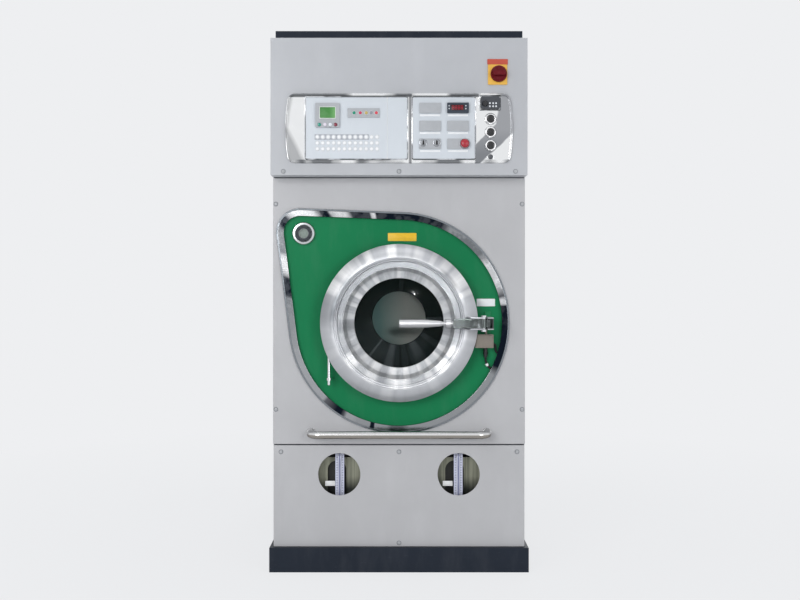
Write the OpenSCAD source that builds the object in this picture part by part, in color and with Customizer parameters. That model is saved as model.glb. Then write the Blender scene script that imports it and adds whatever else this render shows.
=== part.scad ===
// Dry cleaning machine: a closed cabinet on a spill tray, with a round loading
// door, a rotating cage in a sealed tub, solvent tanks below and controls above.
// Origin on the floor under the middle of the tray, front towards -Y, up +Z.

/* [Cabinet] */
// Width of the spill tray that the machine stands on
tray_w = 930; // [920:1:990]
// Depth of the spill tray
tray_d = 1500; // [1460:5:1600]
// Height of the spill tray
tray_h = 88; // [70:1:110]
// Wall of the spill tray
tray_wall = 3; // [2:0.5:5]
// Floor thickness of the spill tray
tray_floor = 5; // [3:0.5:8]
// Width of the cabinet above the tray
cabinet_w = 907; // [895:1:915]
// Height of the lower front panel, with its seam
lower_panel_h = 367; // [350:1:380]
// Height of the middle front panel, with its seam
middle_panel_h = 962; // [945:1:990]
// Height of the control housing
housing_h = 484; // [440:1:520]
// Depth of the control housing
housing_d = 300; // [240:5:360]
// How far the control housing stands ahead of the front panel
housing_overhang = 75; // [50:1:100]
// Height of the top cover
cover_h = 62; // [45:1:80]
// How far the top cover starts behind the front panel
cover_setback = 75; // [40:1:110]
// Width of the tray's ledge ahead of the front panel
front_ledge = 20; // [14:1:30]
// Thickness of the cabinet's sheet metal
sheet = 2; // [1.5:0.5:3]
// Depth of the folded edge round a front panel
panel_fold = 12; // [8:1:12]
// Width of the seam between two panels
seam = 5; // [2:0.5:6]
// How much narrower the lower front panel is than the cabinet
lower_inset = 4; // [2:1:8]

/* [Frame] */
// Width of the square frame tube
tube = 40; // [36:1:44]
// Wall of the frame tube
tube_wall = 3; // [2:0.5:4]
// Clearance between the frame and the panels over it
frame_gap = 0.5; // [0.3:0.1:0.9]
// Distance from the front panel's face to the front posts
post_back = 14; // [14:1:20]

/* [Loading port] */
// Height of the drum's axis above the floor
axis_z = 894; // [880:1:910]
// Radius of the round part of the port plate that shows
plate_r = 370; // [360:1:375]
// Sideways place of the port plate's corner lobe
lobe_x = -355; // [-360:1:-340]
// Height of the corner lobe's centre above the drum axis
lobe_rise = 325; // [300:1:335]
// Radius of the corner lobe
lobe_r = 59; // [50:1:60]
// How far the port plate lies behind the panel's face
plate_recess = 6; // [4:0.5:8]
// Thickness of the port plate
plate_t = 4; // [3:0.5:6]
// How far the port plate reaches behind its trim
plate_margin = 14; // [10:1:16]
// Width of the trim band round the port plate
trim_w = 28; // [20:1:32]
// How far the trim band stands ahead of the panel
trim_t = 9; // [6:0.5:12]
// Inner radius of the loading ring
port_r = 188; // [184:1:190]
// Wall of the loading ring
port_wall = 4; // [3:0.5:5]
// How far the loading ring stands ahead of the front panel
port_reach = 30; // [26:1:34]

/* [Door] */
// Outer radius of the door ring
door_r = 281; // [276:1:286]
// Radius of the door ring's inner edge
door_lip_r = 219; // [217:1:222]
// Depth of the door ring from its back edge to its lip
door_rise = 41; // [36:1:44]
// Wall of the door ring
door_wall = 3; // [2.5:0.5:4]
// Inner radius of the flat band round the door's funnel
band_r = 199; // [197:1:202]
// Radius of the glass that shows
glass_view_r = 160; // [150:1:162]
// Thickness of the door glass
glass_t = 10; // [8:0.5:12]
// Sideways place of the hinge pin
hinge_x = -250; // [-254:1:-248]
// Distance of the hinge pin ahead of the front panel
hinge_ahead = 32; // [31:0.5:33]
// Radius of the hinge pin
hinge_pin_r = 5; // [4:0.5:5.5]
// Height of the hinge pin's lower end above the floor
hinge_pin_z = 672; // [660:1:680]
// Length of the hinge pin
hinge_pin_l = 338; // [334:1:360]
// Distance of each door knuckle from the door's middle
knuckle_off = 85; // [80:1:90]
// Height of one hinge knuckle or bracket
knuckle_h = 18; // [14:1:22]
// Gap between the hinge pin's middle and the door ring's back
hinge_clear = 9; // [8.5:0.5:10]

/* [Handle and latch] */
// Distance of the handle's axis ahead of the front panel
handle_ahead = 107; // [105:0.5:110]
// Radius of the handle's grip
grip_r = 15; // [12:0.5:16]
// Length of the grip's straight part
grip_l = 83; // [70:1:95]
// Distance from the door's middle to the thin end of the grip
grip_thin_x = 148; // [140:1:152]
// Radius at the thin end of the grip
grip_thin_r = 9.5; // [8:0.5:11]
// Radius of the handle's collar
collar_r = 17; // [15:0.5:18]
// Sideways place of the latch pin
latch_x = 296; // [292:1:299]
// Radius of the latch pin
latch_pin_r = 5; // [4:0.5:6]
// Height of the latch arm
arm_h = 32; // [28:1:34]
// Depth of the latch arm
arm_t = 30; // [26:1:31]
// Thickness of the ears that hold the latch pin
ear_t = 5; // [4:0.5:7]

/* [Drum] */
// Outer radius of the cage
drum_r = 345; // [335:1:350]
// Length of the cage
drum_l = 572; // [540:1:580]
// Wall of the cage
drum_wall = 3; // [2:0.5:4]
// Number of lifters
lifters = 3; // [3:1:4]
// Height of a lifter
lifter_h = 68; // [50:1:75]
// Inner radius of the tub round the cage
tub_r = 364; // [362:1:366]
// Wall of the tub
tub_wall = 4; // [3:0.5:5]
// Radius of the drum shaft
shaft_r = 30; // [26:1:34]
// Length of the bearing housing
bearing_l = 180; // [160:1:190]
// Pitch radius of the drum pulley
drum_pulley_r = 220; // [210:1:225]
// Pitch radius of the motor pulley
motor_pulley_r = 50; // [45:1:55]
// Number of belts
belts = 3; // [2:1:4]
// Distance from one belt to the next
belt_pitch = 15; // [14:0.5:16]
// Radius of the drum motor's body
motor_r = 92; // [80:1:95]

/* [Tanks and service pieces] */
// Height of a solvent tank
tank_h = 395; // [380:1:415]
// Depth of a solvent tank
tank_d = 420; // [380:1:460]
// Radius of the gauge windows in the lower panel
window_r = 76; // [70:1:80]
// Distance of each gauge window from the middle
window_x = 215; // [205:1:225]
// Height of the gauge windows' middle above the tray
window_rise = 260; // [250:1:270]
// Width of a level scale
scale_w = 32; // [24:1:34]
// Radius of the solvent filter
filter_r = 135; // [120:1:140]
// Radius of the still
still_r = 150; // [135:1:155]
// Radius of the grab rail's tube
rail_r = 13.5; // [11:0.5:16]
// Distance of the grab rail's axis ahead of the panel
rail_ahead = 65; // [55:1:75]
// Half the length of the grab rail, over its bends
rail_half = 316; // [300:1:335]
// Height of the grab rail above the seam of the lower panel
rail_rise = 43; // [40:1:55]

/* [Controls] */
// Length of the chrome bezel
bezel_l = 802; // [790:1:820]
// Height of the chrome bezel
bezel_h = 246; // [240:1:250]
// Distance from the housing's lower edge to the bezel
bezel_rise = 41; // [30:1:60]
// Thickness of the bezel's plate
bezel_t = 4; // [3:0.5:6]
// Width of the bezel's raised rim
rim_w = 7; // [6:0.5:9]
// Height of the bezel's raised rim over its plate
rim_h = 7; // [5:0.5:12]
// Thickness of the white control plates
control_t = 3; // [2:0.5:4]
// Pitch of the round membrane keys
key_pitch = 19.1; // [19:0.1:19.5]
// Radius of a round membrane key
key_r = 8.2; // [7:0.1:8.6]
// Radius of a black push button
push_r = 13.6; // [12:0.2:14]
// Travel of a push button
push_travel = 4; // [3:0.5:5]
// Radius of the emergency stop's head
stop_r = 15; // [13:0.5:16]
// Travel of the emergency stop
stop_travel = 4; // [3:0.5:4]
// Radius of the main switch's handle
main_r = 29; // [26:0.5:31]
// Radius of a display key
display_key_r = 6.2; // [4.5:0.1:6.5]
// Travel of a display key
display_key_travel = 1.5; // [1:0.1:2]
// Clearance round a button, key or knob in its hole
control_gap = 0.4; // [0.3:0.1:0.5]

/* [Fits] */
// Radial clearance of a pin or shaft in its bore
fit = 0.06; // [0.03:0.01:0.09]
// Clearance between two pieces that turn past each other
run_gap = 1; // [0.6:0.1:1.5]
// Clearance between a piece and its seat
seat_gap = 0.3; // [0.2:0.1:0.4]

/* [Hidden] */
$fn = 96;

// Heights of the cabinet's stages
lower_z = tray_h;
split_z = lower_z + lower_panel_h;
housing_z = split_z + middle_panel_h;
cover_z = housing_z + housing_h;
side_x = cabinet_w / 2;
front_y = -tray_d / 2 + front_ledge;
rear_y = tray_d / 2 - front_ledge;
housing_back_y = front_y - housing_overhang + housing_d;

// Frame: outer faces of the posts and heights of the rails' upper faces
post_x = side_x - sheet - frame_gap;
post_front_y = front_y + post_back;
post_rear_y = rear_y - sheet - frame_gap;
post_top = cover_z - sheet - frame_gap;
deck_z = split_z + 20;
upper_z = housing_z + 20;
beam_ys = [-560, -160, 70, 300, 560];

// Port plate and its trim, as tangents round two circles
// Both keep their place between the cabinet's sides
disc_r = plate_r * cabinet_w / 907;
disc_c = [0, axis_z];
lobe_c = [lobe_x * cabinet_w / 907, axis_z + lobe_rise];
lobe_span = norm(lobe_c - disc_c);
lobe_angle = atan2(lobe_rise, lobe_c[0]);
tangent_angle = acos((disc_r - lobe_r) / lobe_span);
plate_back = plate_recess + plate_t;

// Door: places ahead of the front panel's face
door_back = hinge_ahead + hinge_clear;
door_front = door_back + door_rise;
frame_back = door_back + 3;
band_d = door_front - 8;
glass_front = port_reach - 2;
glass_back = glass_front - glass_t;
glass_seat_r = glass_view_r + 11;
plug_r = port_r - 10;
clamp_t = 4;
door_top_r = door_lip_r + 10;
cone_n = 7;
lip_back = door_front - 14;
knuckle_r = hinge_clear - 0.5;
bracket_h = 9;
bracket_zs = [hinge_pin_z + 17, axis_z + knuckle_off + knuckle_h / 2 + 2];

// Latch: the pin in the door's ears, and the keeper beside the arm's nose
ear_r = 9.5;
ear_z = arm_h / 2 + run_gap;
barrel_r = 11;
nose_l = 22;
nose_h = 24;
keeper_x = latch_x + ear_r + 4;
keeper_w = 21;
block_x = 190;

// Drum, tub and drive: places behind the front panel's face
drum_front = 78;
drum_back = drum_front + drum_l;
tub_back = drum_back + 40;
tub_back_t = 8;
bearing_w = 25;
bearing_r = shaft_r + 20;
pulley_w = belts * belt_pitch + 5;
pulley_d = tub_back + tub_back_t + bearing_l + 10;
motor_c = [180, 590];
motor_l = 150;
motor_front = pulley_d - 14 - motor_l;
belt_t = 10;
shaft_end = pulley_d + pulley_w + 12;
duct_y = housing_back_y + 90;
lifter_a = 90;
arch_r = 34;

// Interlock switch: its box, its two cable glands and the bends of its leads
switch_c = [disc_r - 65.5, axis_z - 65];
switch_size = [65, 48];
lead_r = 4;
lead_d = -1.2;
lead_angles = [-26.5, -17];
glands = [[[switch_c[0] + 6, switch_c[1] - switch_size[1] / 2, 8], [90, 0, 0], 7.5, 34, [0, -1, 0]],
          [[switch_c[0] + switch_size[0] / 2, axis_z - 78, 8], [0, 90, 0], 7, 4, [1, 0, 0]]];

// Controls on the housing's front: centres across and heights above the floor
bezel_z = housing_z + bezel_rise;
rim_r = 28;
bow_r = 690;
across = bezel_l / 802;
plate_xs = across * [[-328, -42], [-40.5, 28], [49, 267]];
plates_z = [bezel_z + 16, bezel_z + bezel_h - 14];
module_z = bezel_z + 69;
push_x = bezel_l / 2 - 78.5;
push_zs = [bezel_z + 156, bezel_z + 109, bezel_z + 62.5];
lock_c = [push_x, bezel_z + 22.5];
lock_r = 8;
main_c = [bezel_l / 2 - 50, housing_z + 355.5];
main_plate_c = [main_c[0] - 3.5, housing_z + 353.5];
stop_c = [across * 231, module_z - 1];
selector_xs = across * [85.5, 132.6];
selector_z = module_z + 2;
selector_r = 10.5;
timer_c = [push_x - 1.5, bezel_z + 212];
timer_knob_c = [timer_c[0] - 19, bezel_z + 208.5];
timer_knob_r = 10;
display_c = [across * -251.5, bezel_z + 167.9];
display_key_xs = [for (x = [-28.5, -8.5, 10, 28.5]) display_c[0] + x];
display_key_z = bezel_z + 134.6;
strip_c = [across * -124.5, bezel_z + 176.5];
lamp_xs = [for (x = [-33.5, -11.5, 9.5, 26.5, 45]) strip_c[0] + x];
matrix_x = plate_xs[0][0] + 40.6;
matrix_zs = [bezel_z + 92, bezel_z + 71, bezel_z + 50];
cell_xs = across * [109.5, 207.5];
cell_zs = [module_z + 124.8, module_z + 61.5, module_z - 1.2];
cell_size = [across * 76, 36.4];

// Places on the front: X across, Y up from the floor, Z ahead of the panel
module front(d = 0)
    translate([0, front_y - d, 0]) rotate([90, 0, 0]) children();
module desk(d = 0) front(housing_overhang + d) children();
// Places seen from above: X across, Y ahead of the panel, Z up
module plan(z) translate([0, front_y, z]) mirror([0, 1, 0]) children();
// A box from its low corner to its high corner
module box(low, high) translate(low) cube(high - low);

function arc(r, from, to, n, c = [0, 0]) =
    [for (i = [0:n]) c + r * [cos(from + (to - from) * i / n), sin(from + (to - from) * i / n)]];
// Outline of the port plate, grown outwards by an amount
function drop(grow = 0) = concat(
    arc(disc_r + grow, lobe_angle + tangent_angle, lobe_angle + 360 - tangent_angle, 100, disc_c),
    arc(lobe_r + grow, lobe_angle - tangent_angle, lobe_angle + tangent_angle, 24, lobe_c));

module rounded(size, r) {
    translate([-size[0] / 2 + r, -size[1] / 2]) square([size[0] - 2 * r, size[1]]);
    translate([-size[0] / 2, -size[1] / 2 + r]) square([size[0], size[1] - 2 * r]);
    for (x = [-1, 1], y = [-1, 1])
        translate([x * (size[0] / 2 - r), y * (size[1] / 2 - r)]) circle(r);
}

module slab(c, size, t, r = 3)
    translate([c[0], c[1], 0]) linear_extrude(t) rounded(size, r);

module ring(outer, inner, h)
    difference() {
        cylinder(r = outer, h = h);
        translate([0, 0, -1]) cylinder(r = inner, h = h + 2);
    }

// Cabinet

module base_tray() color("#2b303b") difference() {
    lip = [(tray_w - cabinet_w) / 2 + sheet, front_ledge + sheet];
    box([-tray_w / 2, -tray_d / 2, 0], [tray_w / 2, tray_d / 2, tray_h]);
    box([-tray_w / 2 + tray_wall, -tray_d / 2 + tray_wall, tray_floor],
        [tray_w / 2 - tray_wall, tray_d / 2 - tray_wall, tray_h - tray_wall]);
    box([-tray_w / 2 + lip[0], -tray_d / 2 + lip[1], tray_floor],
        [tray_w / 2 - lip[0], tray_d / 2 - lip[1], tray_h + 1]);
}

module tube_z(x, y, z0, z1) translate([x, y, z0]) difference() {
    cube([tube, tube, z1 - z0]);
    translate([tube_wall, tube_wall, -1])
        cube([tube - 2 * tube_wall, tube - 2 * tube_wall, z1 - z0 + 2]);
}
module tube_x(y, z, x0, x1)
    translate([x0, y, z]) rotate([90, 0, 90]) tube_z(0, 0, 0, x1 - x0);
module tube_y(x, z, y0, y1)
    translate([x, y1, z]) rotate([90, 0, 0]) tube_z(0, 0, 0, y1 - y0);

module frame() color("#4a4f57") {
    inner_x = post_x - tube;
    for (x = [-post_x, inner_x], y = [post_front_y, post_rear_y - tube])
        tube_z(x, y, tray_floor, post_top);
    for (z = [deck_z, upper_z, post_top]) {
        for (x = [-post_x, inner_x])
            tube_y(x, z - tube, post_front_y + tube, post_rear_y - tube);
        for (y = [post_front_y, post_rear_y - tube])
            tube_x(y, z - tube, -inner_x, inner_x);
    }
    for (y = beam_ys) tube_x(y - tube / 2, deck_z - tube, -inner_x, inner_x);
}

// Rows of hooded louvres in a sheet that faces +Z, on either side of it
module louvre_cuts(cols, rows, pitch_x, pitch_y)
    for (i = [0:cols - 1], j = [0:rows - 1])
        translate([i * pitch_x, j * pitch_y, 0]) cube([pitch_x - 24, 7, 20], center = true);
module louvre_hoods(cols, rows, pitch_x, pitch_y)
    for (i = [0:cols - 1], j = [0:rows - 1])
        translate([i * pitch_x - (pitch_x - 24) / 2, j * pitch_y - 3.5, 0])
            rotate([90, 0, 90]) linear_extrude(pitch_x - 24)
                polygon([[8, -sheet], [8, 0], [0.5, 5], [-1, 5], [-1.5, 4], [-1, 3.2], [6, -sheet]]);

// A side of the cabinet, notched at the top for the control housing
module side_panel(side) {
    gap = seam / 2;
    y0 = front_y + panel_fold + seam;
    y_mid = 0;
    low = lower_z;
    louvre_y = 180;
    x0 = side * side_x;
    module leaf(outline) translate([x0 - (side > 0 ? sheet : 0), 0, 0])
        rotate([90, 0, 90]) linear_extrude(sheet) polygon(outline);
    // Front leaf, below and behind the housing
    leaf([[y0, low], [y_mid - gap, low], [y_mid - gap, cover_z], [housing_back_y + seam, cover_z],
          [housing_back_y + seam, housing_z - seam], [y0, housing_z - seam]]);
    // Rear leaf with its louvres
    difference() {
        leaf([[y_mid + gap, low], [rear_y - sheet - seam, low],
              [rear_y - sheet - seam, cover_z], [y_mid + gap, cover_z]]);
        for (z = [lower_z + 90, cover_z - 330])
            translate([x0, louvre_y, z]) rotate([90, 0, 90]) louvre_cuts(3, 8, 190, 26);
    }
    for (z = [lower_z + 90, cover_z - 330]) translate([x0, louvre_y, z])
        if (side > 0) rotate([90, 0, 90]) louvre_hoods(3, 8, 190, 26);
        else mirror([1, 0, 0]) rotate([90, 0, 90]) louvre_hoods(3, 8, 190, 26);
}
module left_side_panel() color("#b9babd") side_panel(-1);
module right_side_panel() color("#b9babd") side_panel(1);

module rear_panel() color("#b9babd") {
    gap = seam / 2;
    w = side_x - 2 * sheet;
    difference() {
        box([-w, rear_y - sheet, lower_z], [w, rear_y, split_z - gap]);
        // Opening for the water, steam and drain connections
        box([-250, rear_y - sheet - 1, lower_z + 60], [-50, rear_y + 1, lower_z + 200]);
    }
    difference() {
        box([-w, rear_y - sheet, split_z + gap], [w, rear_y, cover_z]);
        translate([-190, rear_y, split_z + 180]) rotate([90, 0, 0]) louvre_cuts(3, 12, 190, 26);
    }
    translate([-190, rear_y, split_z + 180]) mirror([0, 1, 0]) rotate([90, 0, 0])
        louvre_hoods(3, 12, 190, 26);
}

module top_cover() color("#2b303b") difference() {
    y0 = front_y + cover_setback;
    box([-side_x, y0, cover_z], [side_x, rear_y, cover_z + cover_h]);
    box([-side_x + sheet, y0 + sheet, cover_z - 1],
        [side_x - sheet, rear_y - sheet, cover_z + cover_h - sheet]);
    for (i = [0:11]) translate([-165 + 30 * i, 420, cover_z + cover_h]) cube([9, 180, 20], center = true);
}

// A front panel: a face with a folded edge all round, open at the back
module folded_panel(w, z0, z1, set) front(-set) difference() {
    translate([-w / 2, z0, -panel_fold + set]) cube([w, z1 - z0, panel_fold - set]);
    translate([-w / 2 + sheet, z0 + sheet, -panel_fold - 1])
        cube([w - 2 * sheet, z1 - z0 - 2 * sheet, panel_fold + 1 - sheet]);
}

module middle_front_panel() color("#bfc0c2") difference() {
    folded_panel(cabinet_w, split_z + seam / 2, housing_z - seam / 2, 0);
    front(-panel_fold) linear_extrude(panel_fold + 1) polygon(drop(8));
    front(-panel_fold) lead_slots(0, panel_fold + 1);
}

module lower_front_panel() color("#b7b8ba") difference() {
    folded_panel(cabinet_w - lower_inset, lower_z, split_z - seam / 2, 1);
    for (x = [-window_x, window_x]) front(-panel_fold)
        translate([x, lower_z + window_rise, 0]) cylinder(r = window_r, h = panel_fold + 1);
}

module control_housing() color("#bcbdc2") difference() {
    y0 = front_y - housing_overhang;
    box([-side_x, y0, housing_z], [side_x, housing_back_y, cover_z]);
    box([-side_x + sheet, y0 + sheet, housing_z + sheet],
        [side_x - sheet, housing_back_y + 1, cover_z - sheet]);
    // The underside ends where the front panel begins
    box([-side_x + sheet, front_y, housing_z - 1], [side_x - sheet, housing_back_y + 1, housing_z + 10]);
    desk(-10) {
        for (z = push_zs) translate([push_x, z, 0]) cylinder(r = push_r + control_gap, h = 11);
        translate([lock_c[0], lock_c[1], 0]) cylinder(r = lock_r + control_gap, h = 11);
    }
}

// Controls

// Outline of the bezel, inwards by an amount: bowed ends and rounded corners
function bezel_line(inset = 0) = let (
    xc = bezel_l / 2 - bow_r, yf = bezel_h / 2 - rim_r,
    reach = sqrt(pow(bow_r - rim_r, 2) - yf * yf), xf = xc + reach, a = atan2(yf, reach),
    r = rim_r - inset)
    concat(arc(bow_r - inset, -a, a, 12, [xc, 0]), arc(r, a, 90, 8, [xf, yf]),
           arc(r, 90, 180 - a, 8, [-xf, yf]), arc(bow_r - inset, 180 - a, 180 + a, 12, [-xc, 0]),
           arc(r, 180 + a, 270, 8, [-xf, -yf]), arc(r, 270, 360 - a, 8, [xf, -yf]));

module control_bezel() color("#d8dadd") desk() difference() {
    union() {
        translate([0, bezel_z + bezel_h / 2, 0]) {
            linear_extrude(bezel_t) polygon(bezel_line());
            linear_extrude(bezel_t + rim_h) difference() {
                polygon(bezel_line(2));
                polygon(bezel_line(rim_w));
            }
        }
        for (z = push_zs) translate([push_x, z, 0]) {
            cylinder(r = push_r + 6, h = bezel_t + 4);
            translate([0, 0, bezel_t + 4]) cylinder(r1 = push_r + 6, r2 = push_r + 3.5, h = 3);
        }
        translate([lock_c[0], lock_c[1], 0]) cylinder(r = lock_r + 3, h = bezel_t + 2);
    }
    for (z = push_zs) translate([push_x, z, -1]) cylinder(r = push_r + control_gap, h = 20);
    translate([lock_c[0], lock_c[1], -1]) cylinder(r = lock_r + control_gap, h = 20);
}

module control_plates() color("#e6e8ea") desk(bezel_t) for (p = plate_xs)
    difference() {
        slab([(p[0] + p[1]) / 2, (plates_z[0] + plates_z[1]) / 2],
             [p[1] - p[0], plates_z[1] - plates_z[0]], control_t, 6);
        translate([0, 0, -1]) {
            translate([stop_c[0], stop_c[1], 0]) cylinder(r = 6, h = control_t + 2);
            for (x = selector_xs) translate([x, selector_z, 0])
                cylinder(r = selector_r - 4, h = control_t + 2);
        }
    }

module display_unit() color("#a9abaf") desk(bezel_t + control_t) difference() {
    slab(display_c, [85.5, 86.2], 8, 4);
    translate([0, 0, 5]) slab([display_c[0] + 0.5, display_c[1] + 8.9], [58, 42], 4, 1);
    for (x = display_key_xs) translate([x, display_key_z, 3])
        cylinder(r = display_key_r + control_gap, h = 6);
}

// One key of the display unit: a low dome on a stem in its hole
module display_key(i) desk(bezel_t + control_t + 3 + display_key_travel)
    translate([display_key_xs[i], display_key_z, seat_gap]) rotate_extrude()
        polygon([[0, 0], [display_key_r, 0], [display_key_r, 5], [display_key_r - 1, 6], [0, 6.6]]);
module display_key_1() color("#2f9b83") display_key(0);
module display_key_2() color("#d9d2e0") display_key(1);
module display_key_3() color("#dfe3e8") display_key(2);
module display_key_4() color("#8e2a3c") display_key(3);

// Modules on the two plates: the lamp strip, five blanking blocks, the base
// of the selectors and the temperature controller
module control_modules() color("#9da0a4") desk(bezel_t + control_t) {
    slab(strip_c, [113, 33], 4, 2);
    for (x = lamp_xs) translate([x, strip_c[1], 4]) rotate_extrude()
        polygon([[0, 0], [6.5, 0], [6.5, 1.2], [4, 2.4], [0, 2.4]]);
    for (i = [0, 1], j = [0, 1]) if (i == 0 || j == 1) slab([cell_xs[i], cell_zs[j]], cell_size, 5, 2);
    // The temperature controller, with its display set in
    difference() {
        slab([cell_xs[1], cell_zs[0]], cell_size, 9, 2);
        translate([0, 0, 7]) slab([cell_xs[1] - 2, cell_zs[0] + 1], [48, 21], 3, 1);
    }
    difference() {
        slab([cell_xs[0], cell_zs[2]], cell_size, 5, 2);
        for (x = selector_xs) translate([x, selector_z, -1]) cylinder(r = selector_r - 4, h = 8);
    }
    difference() {
        slab([cell_xs[1], cell_zs[2]], cell_size, 5, 2);
        translate([stop_c[0], stop_c[1], -1]) cylinder(r = 6, h = 8);
    }
}

module key_matrix() color("#eceef0") desk(bezel_t + control_t) {
    translate([matrix_x - key_pitch / 2, matrix_zs[0] - key_pitch / 2, 0])
        cube([10 * key_pitch, key_pitch, 0.8]);
    for (i = [0:11], j = [0:2])
        translate([matrix_x + i * key_pitch, matrix_zs[j], j == 0 && i < 10 ? 0.8 : 0]) rotate_extrude()
            polygon([[0, 0], [key_r, 0], [key_r, 0.8], [key_r - 1.5, 1.8], [0, 2.2]]);
}

module switch_plate() color("#e8b93e") desk() {
    difference() {
        union() {
            slab(main_plate_c, [68, 71], 4, 3);
            translate([main_c[0], main_c[1], 4]) cylinder(r1 = main_r + 2.5, r2 = main_r + 1, h = 2.5);
        }
        translate([main_c[0], main_c[1], 1]) cylinder(r = 9, h = 8);
    }
    slab([main_plate_c[0], main_plate_c[1] + 45.5], [72, 19], 3, 1.5);
}

// The main switch's handle: a dished disc with a tapered bar across it
module switch_handle() color("#8e1f1f") desk(6.5 + seat_gap) translate([main_c[0], main_c[1], 0]) {
    rotate_extrude() polygon([[0, 0], [main_r, 0], [main_r, 6], [main_r - 4, 9], [main_r - 7, 8], [0, 8]]);
    translate([0, 0, 8]) difference() {
        linear_extrude(16) rounded([46, 15], 7);
        for (s = [-1, 1]) translate([0, s * 22, 3]) rotate([0, 90, 0])
            cylinder(r = 17, h = 60, center = true);
    }
    translate([0, 0, -4]) cylinder(r = 8.5, h = 5);
}

module timer_box() color("#42454c") desk(bezel_t) difference() {
    union() {
        slab(timer_c, [69, 44.5], 12, 9);
        for (x = [-2, 9.5, 20], z = [-13.5, -2.5])
            translate([timer_c[0] + x, timer_c[1] + z, 12])
                cylinder(r = 3.2, h = 1.5);
    }
    translate([timer_knob_c[0], timer_knob_c[1], 8]) cylinder(r = timer_knob_r + control_gap, h = 6);
}

module timer_knob() color("#191a1d") desk(bezel_t + 8 + seat_gap)
    translate([timer_knob_c[0], timer_knob_c[1], 0]) difference() {
        rotate_extrude()
            polygon([[0, 0], [timer_knob_r, 0], [timer_knob_r, 10], [timer_knob_r - 2, 13], [0, 13]]);
        for (a = [0:30:330]) rotate(a) translate([timer_knob_r + 0.8, 0, 5]) cylinder(r = 1.6, h = 12);
        translate([-0.8, 2, 12]) cube([1.6, timer_knob_r, 2]);
    }

// A selector: a round collar on a stem, with a pointed bar
module selector(x) desk(bezel_t + control_t + 5 + seat_gap) translate([x, selector_z, 0]) {
    rotate_extrude() polygon([[0, -6], [selector_r - 4.5, -6], [selector_r - 4.5, 0], [selector_r, 0],
                              [selector_r, 4], [selector_r - 2, 6], [0, 6]]);
    translate([0, 0, 6]) linear_extrude(9)
        polygon([[-3.5, -8], [3.5, -8], [3, 4], [0, 9], [-3, 4]]);
}
module selector_left() color("#3a3d42") selector(selector_xs[0]);
module selector_right() color("#3a3d42") selector(selector_xs[1]);

module stop_button() color("#b01428") desk(bezel_t + control_t + 5)
    translate([stop_c[0], stop_c[1], 0]) rotate_extrude()
        polygon(concat([[0, -3.5], [5.6, -3.5], [5.6, stop_travel + seat_gap],
                        [stop_r - 1, stop_travel + seat_gap + 2], [stop_r, stop_travel + 6]],
                       [for (a = [15:15:90]) [stop_r * cos(a), stop_travel + 6 + 7 * sin(a)]]));

module push_button(i) color("#15161a") desk(-4) translate([push_x, push_zs[i], 0]) rotate_extrude()
    polygon([[0, 0], [push_r, 0], [push_r, bezel_t + 11], [push_r - 1.5, bezel_t + 12.5],
             [push_r - 4, bezel_t + 12], [0, bezel_t + 11.5]]);
module push_button_top() push_button(0);
module push_button_middle() push_button(1);
module push_button_low() push_button(2);

module lock_barrel() color("#c9ccd1") desk(-6) translate([lock_c[0], lock_c[1], 0]) difference() {
    cylinder(r = lock_r, h = bezel_t + 11);
    translate([-1, -4, bezel_t + 7]) cube([2, 8, 5]);
}

// Loading port

module port_plate() color("#1d8257") front(-plate_back) difference() {
    linear_extrude(plate_t) polygon(drop(plate_margin));
    translate([disc_c[0], disc_c[1], -1]) cylinder(r = port_r + port_wall + seat_gap, h = plate_t + 2);
    translate([lobe_c[0] + 12, lobe_c[1] - 4, -1]) cylinder(r = 24, h = plate_t + 2);
    // Notches for the leads, under the trim
    for (a = lead_angles) translate([0, axis_z, -1]) rotate(a) translate([disc_r + 4, -lead_r - 1, 0])
        cube([20, 2 * lead_r + 2, plate_t + 2]);
}

module port_trim() color("#d3d5d8") {
    front() difference() {
        linear_extrude(trim_t) polygon(drop(trim_w));
        translate([0, 0, -1]) linear_extrude(trim_t + 2) polygon(drop());
        // The face slopes down to the panel along the outer edge
        translate([0, 0, trim_t - 3]) difference() {
            linear_extrude(4) polygon(drop(trim_w + 1));
            translate([0, 0, -1]) linear_extrude(6) polygon(drop(trim_w - 7));
        }
        lead_slots(-1, lead_d + lead_r + 0.6);
    }
    front(-plate_recess) difference() {
        linear_extrude(plate_recess) polygon(drop(3));
        translate([0, 0, -1]) linear_extrude(plate_recess + 2) polygon(drop());
        lead_slots(-1, plate_recess + 1);
    }
}

module loading_ring() color("#c4c6ca") front() translate([0, axis_z, 0]) rotate_extrude() polygon([
    [port_r, -drum_front + 4], [port_r + port_wall, -drum_front + 4],
    [port_r + port_wall, -plate_recess], [port_r + 26, -plate_recess], [port_r + 26, -plate_recess + 4],
    [port_r + port_wall, -plate_recess + 4], [port_r + port_wall, port_reach - 5],
    [port_r + 12, port_reach - 3], [port_r + 12, port_reach], [port_r, port_reach]]);

// The two brackets that hold the hinge pin, clear of the door ring's swing
module hinge_brackets() color("#8f9296") for (z = bracket_zs) plan(z) difference() {
    union() {
        translate([hinge_x, hinge_ahead, 0]) cylinder(r = knuckle_r, h = bracket_h);
        linear_extrude(bracket_h) polygon([
            [hinge_x - 6, hinge_ahead - 6], [hinge_x + knuckle_r - 1, hinge_ahead + 3],
            [hinge_x + 18, -plate_recess + 5], [hinge_x + 18, -plate_recess],
            [hinge_x + 8, -plate_recess]]);
    }
    translate([hinge_x, hinge_ahead, -1]) cylinder(r = hinge_pin_r + fit, h = bracket_h + 2);
}

module hinge_pin() color("#c9ccd1") plan(hinge_pin_z) translate([hinge_x, hinge_ahead, 0]) {
    cylinder(r1 = hinge_pin_r - 1, r2 = hinge_pin_r, h = 1);
    translate([0, 0, 1]) cylinder(r = hinge_pin_r, h = hinge_pin_l - 1);
}

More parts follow.
